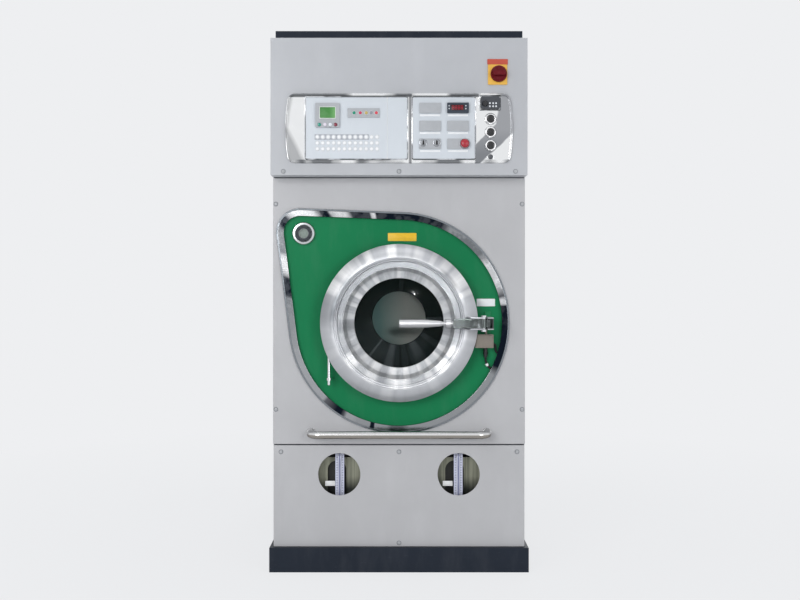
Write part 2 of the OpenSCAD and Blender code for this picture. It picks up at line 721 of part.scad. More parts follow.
module keeper_bracket() color("#85888c") {
    // A channel on a foot, open towards the door
    reach = handle_ahead + 8;
    h = arm_h / 2 + 1.5;
    difference() {
        front(-plate_recess) translate([keeper_x, axis_z - h - 4, 0])
            cube([keeper_w, 2 * h + 8, reach + plate_recess]);
        front(-plate_recess + 4) translate([keeper_x - 1, axis_z - h, 0])
            cube([keeper_w - 3, 2 * h, reach + plate_recess]);
    }
    front(-plate_recess) for (s = [-1, 1]) translate([keeper_x, axis_z + s * (h + 12) - 10, 0])
        cube([keeper_w, 20, 5]);
}

module interlock_switch() color("#a19a92") {
    front(-plate_recess) difference() {
        slab(switch_c, switch_size, plate_recess + 38, 3);
        translate([switch_c[0], switch_c[1], plate_recess + 37]) linear_extrude(4) difference() {
            rounded([switch_size[0] - 6, switch_size[1] - 6], 3);
            rounded([switch_size[0] - 8, switch_size[1] - 8], 3);
        }
    }
    // Plunger under the keeper, and the two cable glands
    front() {
        translate([switch_c[0] + 7.5, switch_c[1] + switch_size[1] / 2 - 1, 16]) rotate([-90, 0, 0])
            cylinder(r = 4, h = 20);
        for (g = glands) translate(g[0]) rotate(g[1]) {
            cylinder(r = g[2], h = g[3]);
            translate([0, 0, g[3] / 2]) cylinder(r = g[2] + 2, h = 1.5 + g[3] / 8, $fn = 6);
        }
    }
}

// A round tube swept along points: one ring of corners for each point
function sweep_dir(p, i) =
    let (v = p[min(i + 1, len(p) - 1)] - p[max(i - 1, 0)]) v / norm(v);
function sweep_ring(p, i, r, n, side) =
    let (t = sweep_dir(p, i), w = cross(t, side), u = w / norm(w), v = cross(t, u))
    [for (k = [0:n - 1]) p[i] + r * (cos(360 * k / n) * u + sin(360 * k / n) * v)];
module swept(p, r, n, side) {
    last = (len(p) - 1) * n;
    polyhedron([for (i = [0:len(p) - 1]) each sweep_ring(p, i, r, n, side)], concat(
        [[for (k = [0:n - 1]) k]], [[for (k = [0:n - 1]) last + n - 1 - k]],
        [for (i = [0:len(p) - 2], k = [0:n - 1]) let (a = i * n + k, b = i * n + (k + 1) % n)
            each [[a, a + n, b], [b, a + n, b + n]]]), convexity = 4);
}
// A cubic curve from a point to another, with its handles at both ends
function bend(a, da, b, db, n) = [for (i = [0:n]) let (s = i / n, q = 1 - s)
    q * q * q * a + 3 * q * q * s * (a + da) + 3 * q * s * s * (b - db) + s * s * s * b];

// Leads from the interlock switch: they run under the trim and back inside
module interlock_lead() color("#17181a") front() for (i = [0, 1]) {
    g = glands[i];
    a = lead_angles[i];
    start = g[0] + (g[3] + 0.6) * g[4];
    under = [(disc_r + 3) * cos(a), axis_z + (disc_r + 3) * sin(a), lead_d];
    turn = [(disc_r + 20) * cos(a), axis_z + (disc_r + 20) * sin(a), lead_d - 14];
    out = 9 * [cos(a), sin(a), 0];
    swept(concat(bend(start, 22 * g[4] / (i + 1), under, 2 * out, 12),
                 [for (k = [1:8]) bend(under, out, turn, [0, 0, -8], 8)[k]],
                 [turn - [0, 0, 26]]), lead_r, 12, [sin(a + 20), cos(a + 20), 0.05]);
}
// Slots under the trim for the leads, between two depths
module lead_slots(low, high) for (a = lead_angles)
    translate([0, axis_z, low]) rotate(a) translate([disc_r - 2, -lead_r - 1, 0])
        cube([28, 2 * lead_r + 2, high - low]);

module sight_glass() color("#b8bbbf") front(-plate_recess)
    translate([lobe_c[0] + 12, lobe_c[1] - 4, 0]) {
        // Flange, then the castle nut with its notches, then the glass
        rotate_extrude() polygon([[29.3, 0], [41, 0], [41, 8], [38, 12], [32, 13], [29.3, 11]]);
        difference() {
            ring(29, 17, 14);
            for (a = [0:45:315]) rotate(a + 10) translate([25, -3.5, 9]) cube([8, 7, 10]);
        }
        translate([0, 0, -12]) cylinder(r = 16.7, h = 20);
    }

module grab_rail() color("#c6c8cb") {
    bend_r = 36;
    front() translate([0, split_z + rail_rise, 0]) {
        translate([-rail_half + bend_r, 0, rail_ahead]) rotate([0, 90, 0])
            cylinder(r = rail_r, h = 2 * (rail_half - bend_r));
        for (s = [-1, 1]) {
            translate([s * (rail_half - bend_r), 0, rail_ahead - bend_r]) rotate([90, 0, 0])
                rotate(s > 0 ? 0 : 90) rotate_extrude(angle = 90) translate([bend_r, 0]) circle(rail_r);
            translate([s * rail_half, 0, 0]) cylinder(r = rail_r, h = rail_ahead - bend_r);
            translate([s * rail_half, 0, 0]) cylinder(r = rail_r + 2.5, h = 4);
        }
    }
}

// Door

// Height of the door ring's outer face above the panel, and its steps
function cone_d(r) = door_back + 5 + (door_rise - 9) * sin(90 * (door_r - r) / (door_r - door_top_r));
function cone_r(i) = door_r - (door_r - door_top_r) * i / cone_n;

module door_ring() color("#c9cace") {
    front() translate([0, axis_z, 0]) rotate_extrude() polygon(concat(
        [[door_r - door_wall, door_back], [door_r, door_back]],
        [for (i = [0:cone_n]) [cone_r(i), cone_d(cone_r(i))]],
        [[door_lip_r + 7, door_front - 5], [door_lip_r + 6, door_front - 1],
         [door_lip_r + 4.5, door_front], [door_lip_r + 1.5, door_front],
         [door_lip_r, door_front - 1.5], [door_lip_r, lip_back], [door_lip_r + 3, lip_back],
         [door_lip_r + 3, cone_d(door_top_r) - door_wall]],
        [for (i = [cone_n:-1:1]) [cone_r(i), cone_d(cone_r(i)) - door_wall]],
        [[door_r - door_wall, cone_d(door_r) - 1]]));
    // Knuckles that turn on the hinge pin, each on a leaf inside the ring
    for (s = [-1, 1]) difference() {
        union() {
            plan(axis_z + s * knuckle_off - knuckle_h / 2) translate([hinge_x, hinge_ahead, 0])
                cylinder(r = knuckle_r, h = knuckle_h);
            intersection() {
                plan(axis_z + s * knuckle_off - knuckle_h / 2)
                    translate([hinge_x - 6, hinge_ahead + 2, 0]) cube([38, 60, knuckle_h]);
                under_cone();
            }
        }
        plan(axis_z + s * knuckle_off) translate([hinge_x, hinge_ahead, -knuckle_h])
            cylinder(r = hinge_pin_r + fit, h = 2 * knuckle_h);
    }
    difference() {
        latch_ears();
        under_cone();
    }
}

// The space behind the middle of the door ring's wall
module under_cone() front() translate([0, axis_z, 0]) rotate_extrude() polygon(concat(
    [[door_lip_r + 2, 0], [door_r - door_wall / 2, 0]],
    [for (i = [0:cone_n]) [cone_r(i) - (i == 0 ? door_wall / 2 : 0), cone_d(cone_r(i)) - door_wall / 2]],
    [[door_lip_r + 2, cone_d(door_top_r) - door_wall / 2]]));

// The bracket on the door ring that holds the latch pin between two ears
module latch_ears() {
    web_d = handle_ahead - arm_t / 2 - 3;
    for (s = [-1, 1]) plan(axis_z + (s > 0 ? ear_z : -ear_z - ear_t)) difference() {
        union() {
            translate([latch_x, handle_ahead, 0]) cylinder(r = ear_r, h = ear_t);
            linear_extrude(ear_t) polygon([
                [236, door_back + 10], [262, door_back + 10], [latch_x + 5, handle_ahead - 8],
                [latch_x, handle_ahead + ear_r - 0.2], [250, handle_ahead + ear_r - 0.2],
                [236, web_d + 8]]);
        }
        translate([latch_x, handle_ahead, -1]) cylinder(r = latch_pin_r + fit, h = ear_t + 2);
    }
    front() translate([236, axis_z - ear_z, web_d - 4]) cube([46, 2 * ear_z, 4]);
    front() translate([238, axis_z - ear_z, door_back]) cube([24, 2 * ear_z, web_d - door_back]);
}

module door_frame() color("#bcbec2") front() translate([0, axis_z, 0]) {
    wall_d = port_reach + 22;
    rotate_extrude() polygon([
        [door_lip_r - 4, frame_back], [door_lip_r - 4, lip_back - 6], [door_lip_r + 5, lip_back - 6],
        [door_lip_r + 5, lip_back], [door_lip_r - seat_gap, lip_back], [door_lip_r - seat_gap, band_d],
        [band_r + 2, band_d],
        [band_r + 1.5, band_d + 2], [band_r - 1, band_d + 2], [band_r - 3, band_d - 1],
        [port_r - 2, wall_d], [port_r - 3, wall_d - 2], [glass_view_r + 2, glass_front + 6],
        [glass_view_r, glass_front + 4], [glass_view_r, glass_front], [glass_seat_r, glass_front],
        [glass_seat_r, glass_back - clamp_t], [plug_r, glass_back - clamp_t], [plug_r, frame_back]]);
    // The ring that clamps the glass from behind
    translate([0, 0, glass_back - clamp_t]) ring(glass_seat_r - seat_gap, glass_view_r, clamp_t);
}

module door_glass() color([0.6, 0.68, 0.68, 0.4]) front() translate([0, axis_z, 0])
    rotate_extrude() polygon(concat(
        [[0, glass_back], [glass_seat_r - seat_gap, glass_back], [glass_seat_r - seat_gap, glass_front],
         [glass_view_r, glass_front]],
        [for (i = [1:6]) [glass_view_r * cos(15 * i), glass_front + 6 * sin(15 * i)]]));

module door_gasket() color("#202225") front() translate([0, axis_z, 0])
    rotate_extrude() polygon([
        [port_r - 4, frame_back], [port_r - 3, port_reach + 6], [port_r + 1, port_reach + seat_gap],
        [port_r + 10, port_reach + seat_gap], [port_r + 16, port_reach + 6], [port_r + 18, frame_back]]);

// The handle turns on the latch pin: a grip, and an arm with a nose

module latch_pin() color("#c9ccd1") plan(axis_z) translate([latch_x, handle_ahead, 0]) {
    half = ear_z + ear_t + seat_gap;
    translate([0, 0, -half - 1]) cylinder(r = latch_pin_r, h = 2 * half + 2);
    for (s = [-1, 1]) translate([0, 0, s > 0 ? half : -half - 6]) {
        cylinder(r = 8.5, h = 6, $fn = 6);
    }
}

module latch_arm() color("#8d9094") {
    back = handle_ahead - arm_t / 2;
    difference() {
        union() {
            plan(axis_z - arm_h / 2) {
                linear_extrude(arm_h) polygon([
                    [block_x, back], [latch_x - 10, back], [latch_x - 4, handle_ahead - barrel_r + 1],
                    [latch_x - 4, handle_ahead + barrel_r - 1], [latch_x - 12, back + arm_t],
                    [block_x, back + arm_t]]);
                translate([latch_x, handle_ahead, 0]) cylinder(r = barrel_r, h = arm_h);
            }
            plan(axis_z - nose_h / 2) linear_extrude(nose_h) polygon([
                [latch_x, handle_ahead - 6], [latch_x + nose_l - 5, handle_ahead - 6],
                [latch_x + nose_l, handle_ahead - 2], [latch_x + nose_l, handle_ahead + 5],
                [latch_x, handle_ahead + 5]]);
        }
        plan(axis_z - 50) translate([latch_x, handle_ahead, 0]) cylinder(r = latch_pin_r + fit, h = 100);
        // Pockets in the face, with ribs between them
        for (p = [[222, 16], [243, 8], [256, 18]])
            front(back + 8) translate([p[0], axis_z - arm_h / 2 + 5, 0]) cube([p[1], arm_h - 10, arm_t]);
    }
}

module handle_grip() color("#e6e7ea") translate([0, front_y - handle_ahead, axis_z]) rotate([0, 90, 0])
    rotate_extrude() polygon(concat(
        [[0, 0], [grip_r - 3, 0], [grip_r - 0.8, 0.9], [grip_r, 3]],
        [[grip_r, grip_l], [grip_r - 1.2, grip_l + 18], [grip_thin_r, grip_thin_x],
         [7, grip_thin_x + 3], [7, 162], [collar_r - 2, 162], [collar_r, 164], [collar_r, 181],
         [collar_r - 2, 183], [9, 183], [9, block_x], [0, block_x]]));

// Tub, cage and drive

module outer_tub() color("#9a9da1") {
    difference() {
        front() translate([0, axis_z, 0]) rotate_extrude() polygon([
        [tub_r, -plate_back], [tub_r + tub_wall + 12, -plate_back], [tub_r + tub_wall + 12, -plate_back - 5],
        [tub_r + tub_wall, -plate_back - 5], [tub_r + tub_wall, -tub_back - tub_back_t],
        [shaft_r + 8, -tub_back - tub_back_t], [shaft_r + 8, -tub_back], [tub_r, -tub_back]]);
        // Mouth of the air duct
        box([-105, duct_y, axis_z + tub_r - 60], [105, duct_y + 160, axis_z + tub_r + 20]);
    }
    // Saddles on the cradle beams
    for (y = [beam_ys[0], beam_ys[1]]) difference() {
        box([-230, y - 15, deck_z], [230, y + 15, axis_z - tub_r + 60]);
        translate([0, y + 16, axis_z]) rotate([90, 0, 0]) cylinder(r = tub_r + tub_wall / 2, h = 32);
    }
}

module bearing_housing() color("#6f7378") front(-tub_back - tub_back_t - bearing_l)
    translate([0, axis_z, 0]) {
        inner = bearing_r + fit;
        rotate_extrude() polygon([
            [inner, 0], [bearing_r + 22, 0], [bearing_r + 26, bearing_l - 30], [150, bearing_l - 18],
            [150, bearing_l], [shaft_r + 10, bearing_l], [shaft_r + 10, bearing_l - 14],
            [inner, bearing_l - 14]]);
        for (a = [0:60:300]) rotate(a) translate([bearing_r + 20, -6, 10])
            rotate([90, 0, 90]) linear_extrude(60)
                polygon([[0, 0], [12, 0], [12, bearing_l - 26], [0, bearing_l - 26]]);
    }

// Ball bearings that carry the shaft in its housing
module shaft_bearings() color("#c9ccd1") front(-tub_back - tub_back_t - bearing_l)
    translate([0, axis_z, 0]) for (d = [4, bearing_l - 14 - bearing_w - seat_gap])
        translate([0, 0, d]) rotate_extrude() polygon([
            [shaft_r + fit, 0], [shaft_r + 8, 0], [shaft_r + 9, 3], [bearing_r - 7, 3], [bearing_r - 6, 0],
            [bearing_r, 0], [bearing_r, bearing_w], [bearing_r - 6, bearing_w],
            [bearing_r - 7, bearing_w - 3],
            [shaft_r + 9, bearing_w - 3], [shaft_r + 8, bearing_w], [shaft_r + fit, bearing_w]]);

module cage_drum() color("#a7aaae") front() translate([0, axis_z, 0]) {
    inner = drum_r - drum_wall;
    mouth = port_r + 16;
    rotate_extrude() polygon([
        [mouth, -drum_front], [drum_r, -drum_front], [drum_r, -drum_back - 4], [130, -drum_back - 4],
        [110, -drum_back - 24], [shaft_r + 6, -drum_back - 24], [shaft_r, -tub_back - tub_back_t - 10],
        [shaft_r, -shaft_end], [0, -shaft_end], [0, -drum_back + 10], [112, -drum_back + 10],
        [116, -drum_back + 6], [116, -drum_back], [inner, -drum_back], [inner, -drum_front - drum_wall],
        [mouth, -drum_front - drum_wall]]);
    for (i = [0:lifters - 1]) rotate(lifter_a + 360 * i / lifters)
        translate([0, 0, -drum_back - 1]) linear_extrude(drum_l - drum_wall + 2)
            polygon(concat(lifter_line(0), [for (i = [7:-1:0]) lifter_line(drum_wall)[i]]));
}

// One face of a lifter's folded sheet, from edge to edge on the cage's wall
function on_shell(y) = sqrt(pow(drum_r - drum_wall / 2, 2) - y * y);
function lifter_line(t) = let (top = drum_r - lifter_h, mid = drum_r - lifter_h * 0.55) [
    [on_shell(56 - t), -56 + t * 1.2], [mid + t * 0.6, -30 + t * 0.8], [top + t, -16 + t * 0.5],
    [top - 4 + t, -8], [top - 4 + t, 8], [top + t, 16 - t * 0.5],
    [mid + t * 0.6, 30 - t * 0.8], [on_shell(56 - t), 56 - t * 1.2]];

// Half-section of a pulley rim with its V grooves, from z = 0 to pulley_w
function grooves(r, depth) = concat([[r, 0]], [for (i = [0:belts - 1],
    p = [[r, -6], [r - depth, -3.5], [r - depth, 3.5], [r, 6]])
    [p[0], 2.5 + belt_pitch * (i + 0.5) + p[1]]], [[r, pulley_w]]);

module drum_pulley() color("#5c6066") front(-pulley_d - pulley_w) translate([0, axis_z, 0]) difference() {
    rim = drum_pulley_r + 6;
    rotate_extrude() polygon(concat(
        [[shaft_r + fit, -6], [62, -6], [58, pulley_w / 2 - 6], [rim - 26, pulley_w / 2 - 6], [rim - 24, 0]],
        grooves(rim, 12),
        [[rim - 24, pulley_w], [rim - 26, pulley_w / 2 + 6], [58, pulley_w / 2 + 6], [62, pulley_w + 6],
         [shaft_r + fit, pulley_w + 6]]));
    for (a = [0:60:300]) rotate(a) translate([130, 0, -10]) cylinder(r = 42, h = pulley_w + 20);
}

module motor_pulley() color("#5c6066") front(-pulley_d - pulley_w) translate([motor_c[0], motor_c[1], 0])
    rotate_extrude() polygon(concat([[0, 0]], grooves(motor_pulley_r + 6, 12),
        [[14, pulley_w], [14, pulley_w + 50], [0, pulley_w + 50]]));

module drum_motor() color("#3f5f7a") {
    front(-motor_front - motor_l) translate([motor_c[0], motor_c[1], 0]) difference() {
        union() {
            rotate_extrude() polygon([
                [0, 0], [44, 0], [60, 6], [motor_r - 4, 14], [motor_r - 4, motor_l - 18],
                [motor_r - 10, motor_l - 8],
                [50, motor_l], [0, motor_l]]);
            for (a = [0:20:340]) rotate(a) translate([motor_r - 7, -2, 20]) cube([9, 4, motor_l - 46]);
        }
        translate([0, 0, -1]) cylinder(r = 14 + fit, h = 44);
    }
    // Foot on the beam, and the terminal box
    y = front_y + motor_front + motor_l / 2;
    box([motor_c[0] - 70, y - 45, deck_z], [motor_c[0] + 70, y + 45, deck_z + 8]);
    for (x = [-60, 48])
        box([motor_c[0] + x, y - 45, deck_z], [motor_c[0] + x + 12, y + 45, motor_c[1] - motor_r + 34]);
    box([motor_c[0] + motor_r - 8, y - 35, motor_c[1] - 25],
        [motor_c[0] + motor_r + 34, y + 35, motor_c[1] + 25]);
}

// One belt: tangents round the two pulleys, seen along their axes
function belt_loop(grow) = let (
    c = [0, axis_z], r0 = drum_pulley_r - 5.4 + grow, r1 = motor_pulley_r - 5.4 + grow,
    along = motor_c - c, a = atan2(along[1], along[0]), open = acos((r0 - r1) / norm(along)))
    concat(arc(r0, a + open, a + 360 - open, 72, c), arc(r1, a - open, a + open, 36, motor_c));
module drive_belts() color("#1b1c1e") front(-pulley_d - pulley_w) for (i = [0:belts - 1])
    translate([0, 0, 2.5 + belt_pitch * (i + 0.5) - 3]) difference() {
        linear_extrude(6) polygon(belt_loop(belt_t));
        translate([0, 0, -1]) linear_extrude(8) polygon(belt_loop(0));
    }

// Tanks and service pieces

// A closed welded tank on four feet, with an arched recess in its front
module tank(x0, x1, xc) {
    y0 = front_y + 62;
    y1 = y0 + tank_d;
    z0 = tray_floor;
    top = z0 + tank_h;
    difference() {
        box([x0, y0, z0 + 12], [x1, y1, top]);
        difference() {
            box([x0 + 3, y0 + 3, z0 + 15], [x1 - 3, y1 - 3, top - 3]);
            arch(xc, arch_r + 3, y0, 23);
        }
        arch(xc, arch_r, y0, 20);
    }
    for (x = [x0 + 20, x1 - 60], y = [y0 + 20, y1 - 60]) box([x, y, z0], [x + 40, y + 40, z0 + 12]);
}
module arch(x, r, y, t) {
    low = lower_z + 100 + arch_r - r;
    mid = lower_z + window_rise + 6;
    translate([x, y + t, 0]) rotate([90, 0, 0]) linear_extrude(t + (t == 20 ? 1 : 0)) union() {
        translate([-r, low]) square([2 * r, mid - low]);
        translate([0, mid]) circle(r);
    }
}
module solvent_tanks() color("#7d7f6c") {
    edge = post_x - tube - 3;
    tank(-edge, -8, -window_x - 12);
    tank(8, edge, window_x - 12);
}

// Level gauges in front of the tanks: a scale, a sight tube and two elbows
module level_gauges() color("#d9dce6") for (s = [-1, 1]) front() {
    x = s * window_x;
    low = lower_z + 50;
    high = split_z - 34;
    tube_d = -27;
    translate([x - scale_w / 2, low, -34]) cube([scale_w, high - low, 2]);
    translate([x, low + 4, tube_d]) rotate([-90, 0, 0]) cylinder(r = 4, h = high - low - 8);
    for (z = [low + 14, high - 17]) {
        translate([x, z, -62]) cylinder(r = 5, h = 62 + tube_d);
        translate([x, z - 7, tube_d]) rotate([-90, 0, 0]) cylinder(r = 7, h = 14);
    }
}

module solvent_pump() color("#3f5f7a") translate([0, 240, tray_floor]) {
    box([-150, -60, 0], [150, 60, 10]);
    for (x = [-110, 40]) box([x, -45, 10], [x + 30, 45, 60]);
    translate([-140, 0, 115]) rotate([0, 90, 0]) {
        cylinder(r = 62, h = 190);
        translate([0, 0, 190]) cylinder(r1 = 62, r2 = 30, h = 30);
        translate([0, 0, 218]) cylinder(r = 90, h = 60);
        translate([0, 0, 270]) cylinder(r = 30, h = 50);
    }
    translate([108, 0, 150]) cylinder(r = 24, h = 110);
    translate([108, 0, 250]) cylinder(r = 42, h = 12);
}

// Solvent filter: a bolted pressure vessel on a base plate over two beams
module solvent_filter() color("#a8abaf") translate([-245, (beam_ys[3] + beam_ys[4]) / 2, deck_z]) {
    half = (beam_ys[4] - beam_ys[3]) / 2;
    box([-filter_r, -half - 10, 0], [filter_r, half + 10, 8]);
    rotate_extrude() polygon([
        [0, 7], [filter_r - 20, 7], [filter_r - 8, 30], [filter_r - 8, 620], [filter_r + 14, 620],
        [filter_r + 14, 650], [filter_r - 8, 650], [filter_r - 20, 700], [60, 730], [0, 736]]);
    translate([0, 0, 730]) cylinder(r = 28, h = 40);
    for (a = [0:45:315]) rotate(a) translate([filter_r + 4, 0, 612]) cylinder(r = 7, h = 46);
}

// Still: a steam-heated boiler with its rake-out door and vapour pipe
module still() color("#8c8f94") translate([225, (beam_ys[3] + beam_ys[4]) / 2, deck_z]) {
    half = (beam_ys[4] - beam_ys[3]) / 2;
    box([-still_r, -half - 10, 0], [still_r, half + 10, 8]);
    rotate_extrude() polygon([
        [0, 7], [still_r - 30, 7], [still_r - 6, 60], [still_r, 70], [still_r, 420], [still_r - 20, 500],
        [70, 560], [50, 570], [50, 620], [0, 620]]);
    translate([0, still_r - 40, 180]) rotate([-90, 0, 0]) {
        cylinder(r = 105, h = 70);
        translate([0, 0, 70]) cylinder(r1 = 118, r2 = 110, h = 18);
        translate([0, 0, 88]) cylinder(r = 16, h = 20);
    }
}

// Drying unit over the tub: lint filter, condenser and heater in one casing,
// with its fan on top and a neck down to the tub
module drying_unit() color("#9a9da1") {
    low = upper_z - tube;
    high = cover_z - 190;
    x1 = post_x - tube;
    y0 = housing_back_y + 30;
    y1 = 260;
    difference() {
        box([-x1 + 20, y0, low], [x1 - 20, y1, high]);
        box([-x1 + 22, y0 + 2, low + 2], [x1 - 22, y1 - 2, high - 2]);
        box([-105, duct_y, low - 1], [105, duct_y + 160, low + 3]);
    }
    for (s = [-1, 1]) box([s > 0 ? x1 - 20 : -x1, y0 + 40, low], [s > 0 ? x1 : -x1 + 20, y1 - 40, low + 30]);
    // Neck over the tub's air mouth
    difference() {
        box([-120, duct_y - 15, axis_z + tub_r - 40], [120, duct_y + 175, low]);
        box([-105, duct_y, axis_z + tub_r - 41], [105, duct_y + 160, low + 1]);
        translate([0, rear_y, axis_z]) rotate([90, 0, 0])
            cylinder(r = tub_r + tub_wall + seat_gap, h = 2 * rear_y);
    }
    translate([0, (y0 + y1) / 2, high]) {
        cylinder(r = 170, h = 40);
        translate([0, 0, 40]) cylinder(r = 80, h = 120);
        for (a = [0:30:330]) rotate(a) translate([76, -2, 46]) cube([10, 4, 100]);
    }
}

base_tray();
frame();
left_side_panel();
right_side_panel();
rear_panel();
top_cover();
middle_front_panel();
lower_front_panel();
control_housing();
control_bezel();
control_plates();
display_unit();
control_modules();
key_matrix();
switch_plate();
timer_box();
port_trim();
port_plate();
loading_ring();
hinge_brackets();
hinge_pin();
keeper_bracket();
interlock_switch();
interlock_lead();
sight_glass();
grab_rail();
outer_tub();
bearing_housing();
shaft_bearings();
drum_motor();
drive_belts();
solvent_tanks();
level_gauges();
solvent_pump();
solvent_filter();
still();
drying_unit();
door_ring();
door_frame();
door_glass();
door_gasket();
latch_pin();
latch_arm();
handle_grip();
cage_drum();
drum_pulley();
motor_pulley();
switch_handle();
selector_left();
selector_right();
stop_button();
timer_knob();
lock_barrel();
push_button_top();
push_button_middle();
push_button_low();
display_key_1();
display_key_2();
display_key_3();
display_key_4();
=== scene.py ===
"""Dry cleaning machine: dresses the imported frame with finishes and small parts."""
from math import cos, pi, radians

import bmesh
import bpy
from bpy.props import FloatProperty, FloatVectorProperty, PointerProperty
from mathutils import Matrix, Vector


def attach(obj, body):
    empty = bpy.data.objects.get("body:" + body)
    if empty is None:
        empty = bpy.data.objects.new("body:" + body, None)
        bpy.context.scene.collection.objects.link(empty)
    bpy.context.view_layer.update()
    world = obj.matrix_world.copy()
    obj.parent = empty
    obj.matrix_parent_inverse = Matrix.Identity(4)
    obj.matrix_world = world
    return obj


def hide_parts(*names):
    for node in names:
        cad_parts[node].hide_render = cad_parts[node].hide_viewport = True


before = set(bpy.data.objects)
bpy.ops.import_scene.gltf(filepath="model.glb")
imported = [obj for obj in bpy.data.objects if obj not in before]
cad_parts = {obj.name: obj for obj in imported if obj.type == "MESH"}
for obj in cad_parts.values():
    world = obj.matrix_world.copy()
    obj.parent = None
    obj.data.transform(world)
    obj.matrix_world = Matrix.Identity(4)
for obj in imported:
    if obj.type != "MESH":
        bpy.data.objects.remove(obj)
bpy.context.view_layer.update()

bl_info = {
    "name": "Dry Cleaning Machine",
    "version": (1, 0, 0),
    "blender": (4, 5, 0),
    "location": "View3D > Sidebar > Machine",
    "description": "Builds the finishes and the small parts of a dry cleaning machine",
    "category": "Add Mesh",
}

# ---- measures of the machine, in metres
MM = 0.001
WELD = 1e-6  # points this close are one point
FRONT = -0.730  # face of the middle front panel
HOUSING = FRONT - 0.075  # face of the control housing
HOUSING_Z = 1.417  # foot of the control housing
BEZEL_Z = 1.458  # foot of the bezel
AXIS = 0.894  # height of the drum's axis
RAIL_Z = 0.498  # height of the grab rail
CREST_R = 0.2345  # radius of the door ring's crest
FUNNEL_R = 0.1985  # radius of the mouth of the door's funnel
SIGHT = (-0.343, AXIS + 0.321)  # middle of the sight glass
WINDOW_X = 0.215  # middle of a tank window, to the left and right
HOLE_PITCH = 0.016  # distance between the holes of the cage
KEY_PITCH = 0.0191  # distance between the small round keys
KEY_ROWS = (0.092, 0.071, 0.050)  # their rows, up from the bezel's foot
BUTTON_X = 0.3225  # column of the three push buttons
BUTTON_ROWS = (0.156, 0.109, 0.0625)  # their places, up from the bezel's foot
DIGITS = (0.2055, 0.1948)  # middle of the red display, across and up from the bezel's foot

# ---- colours as they look on a screen
PORT_GREEN = "147a4c"
BACKDROP = "eeeff1"

# ---- painted highlights, painted reflections and painted shade round an axis: (degrees, half width, strength)
TRIM_DARK = [(-127.5, 8.5, 1.0), (-104, 2, 0.8), (-90, 8, 0.45), (-5, 28, 1.0), (16.5, 3.5, 0.8),
             (35.5, 3.5, 0.7), (84, 26, 1.0), (110, 9, 1.0), (124.5, 4, 0.7), (137, 5, 0.9), (158.5, 10, 1.0)]
TRIM_LIGHT = [(12, 2.5, 0.9), (27, 13, 0.85), (103.6, 2, 0.9), (118, 4, 0.8), (131, 6, 1.0), (153, 5, 0.9),
              (-150, 24, 0.4), (-118, 5, 0.3)]
RING_LIGHT = [(96, 5, 0.95), (83, 3, 0.25), (74, 5, 0.45), (115, 4, 0.9), (124, 2, 0.4), (135, 10, 1.0),
              (151, 7, 0.9), (36, 9, 0.95), (51, 5, 0.55), (62, 3, 0.35), (24, 3, 0.5), (-10, 5, 0.25),
              (-100, 6, 0.3), (-60, 5, 0.25), (205, 5, 0.2)]
RING_DARK = [(170, 14, 0.4), (-4, 9, 0.4)]
CREST_DARK = [(150, 30, 0.8), (178, 14, 0.5), (40, 16, 0.7), (10, 14, 0.5)]
RIM_LIGHT = [(-142, 9, 0.8), (-118, 8, 0.5), (-90, 12, 0.75), (-60, 5, 0.7), (-45, 9, 1.0), (-28, 7, 0.8),
             (30, 12, 0.4)]
FUNNEL_LIGHT = [(90, 3, 1.0), (118, 4, 0.9), (134, 3, 0.8), (146, 4, 1.0), (158, 3, 0.7), (172, 4, 0.5),
                (48, 14, 0.6), (20, 8, 0.5), (-30, 4, 0.8), (-41, 3, 1.0), (-53, 4, 1.0), (-66, 3, 0.9),
                (-82, 4, 1.0), (-97, 5, 0.7), (-118, 7, 0.9), (-135, 4, 0.6), (-150, 3, 0.4)]
FUNNEL_DARK = [(183, 8, 0.4), (-8, 8, 0.35), (-108, 6, 0.3)]
CAGE_LIGHT = [(-128, 2, 1.0), (-103, 7, 0.9), (-62, 9, 0.6), (-35, 6, 0.35), (-1, 2.5, 0.9), (86, 5, 0.25)]
CAGE_DARK = [(-88, 2.5, 1.0), (-76, 2, 0.8)]

# ---- panel screws: (x, height, millimetres ahead, face)
SCREWS = ([(x, 1430, 0, HOUSING) for x in (-408, 0, 411)]
          + [(x, z, 0, FRONT) for x in (-443, 443) for z in (1321, 582)]
          + [(x, 429, -1, FRONT) for x in (-425, 0, 425)] + [(0, 101, -1, FRONT)])


# ---- colour kit
def linear(text):
    """Scene colour of a six-digit colour as it looks on a screen."""
    parts = [int(text[i:i + 2], 16) / 255 for i in (0, 2, 4)]
    return tuple(c / 12.92 if c <= 0.04045 else ((c + 0.055) / 1.055) ** 2.4 for c in parts) + (1.0,)


def tone(colour, factor):
    """A colour, or a six-digit one, made darker or lighter."""
    parts = linear(colour) if isinstance(colour, str) else colour
    return tuple(min(1.0, c * factor) for c in parts[:3]) + (1.0,)


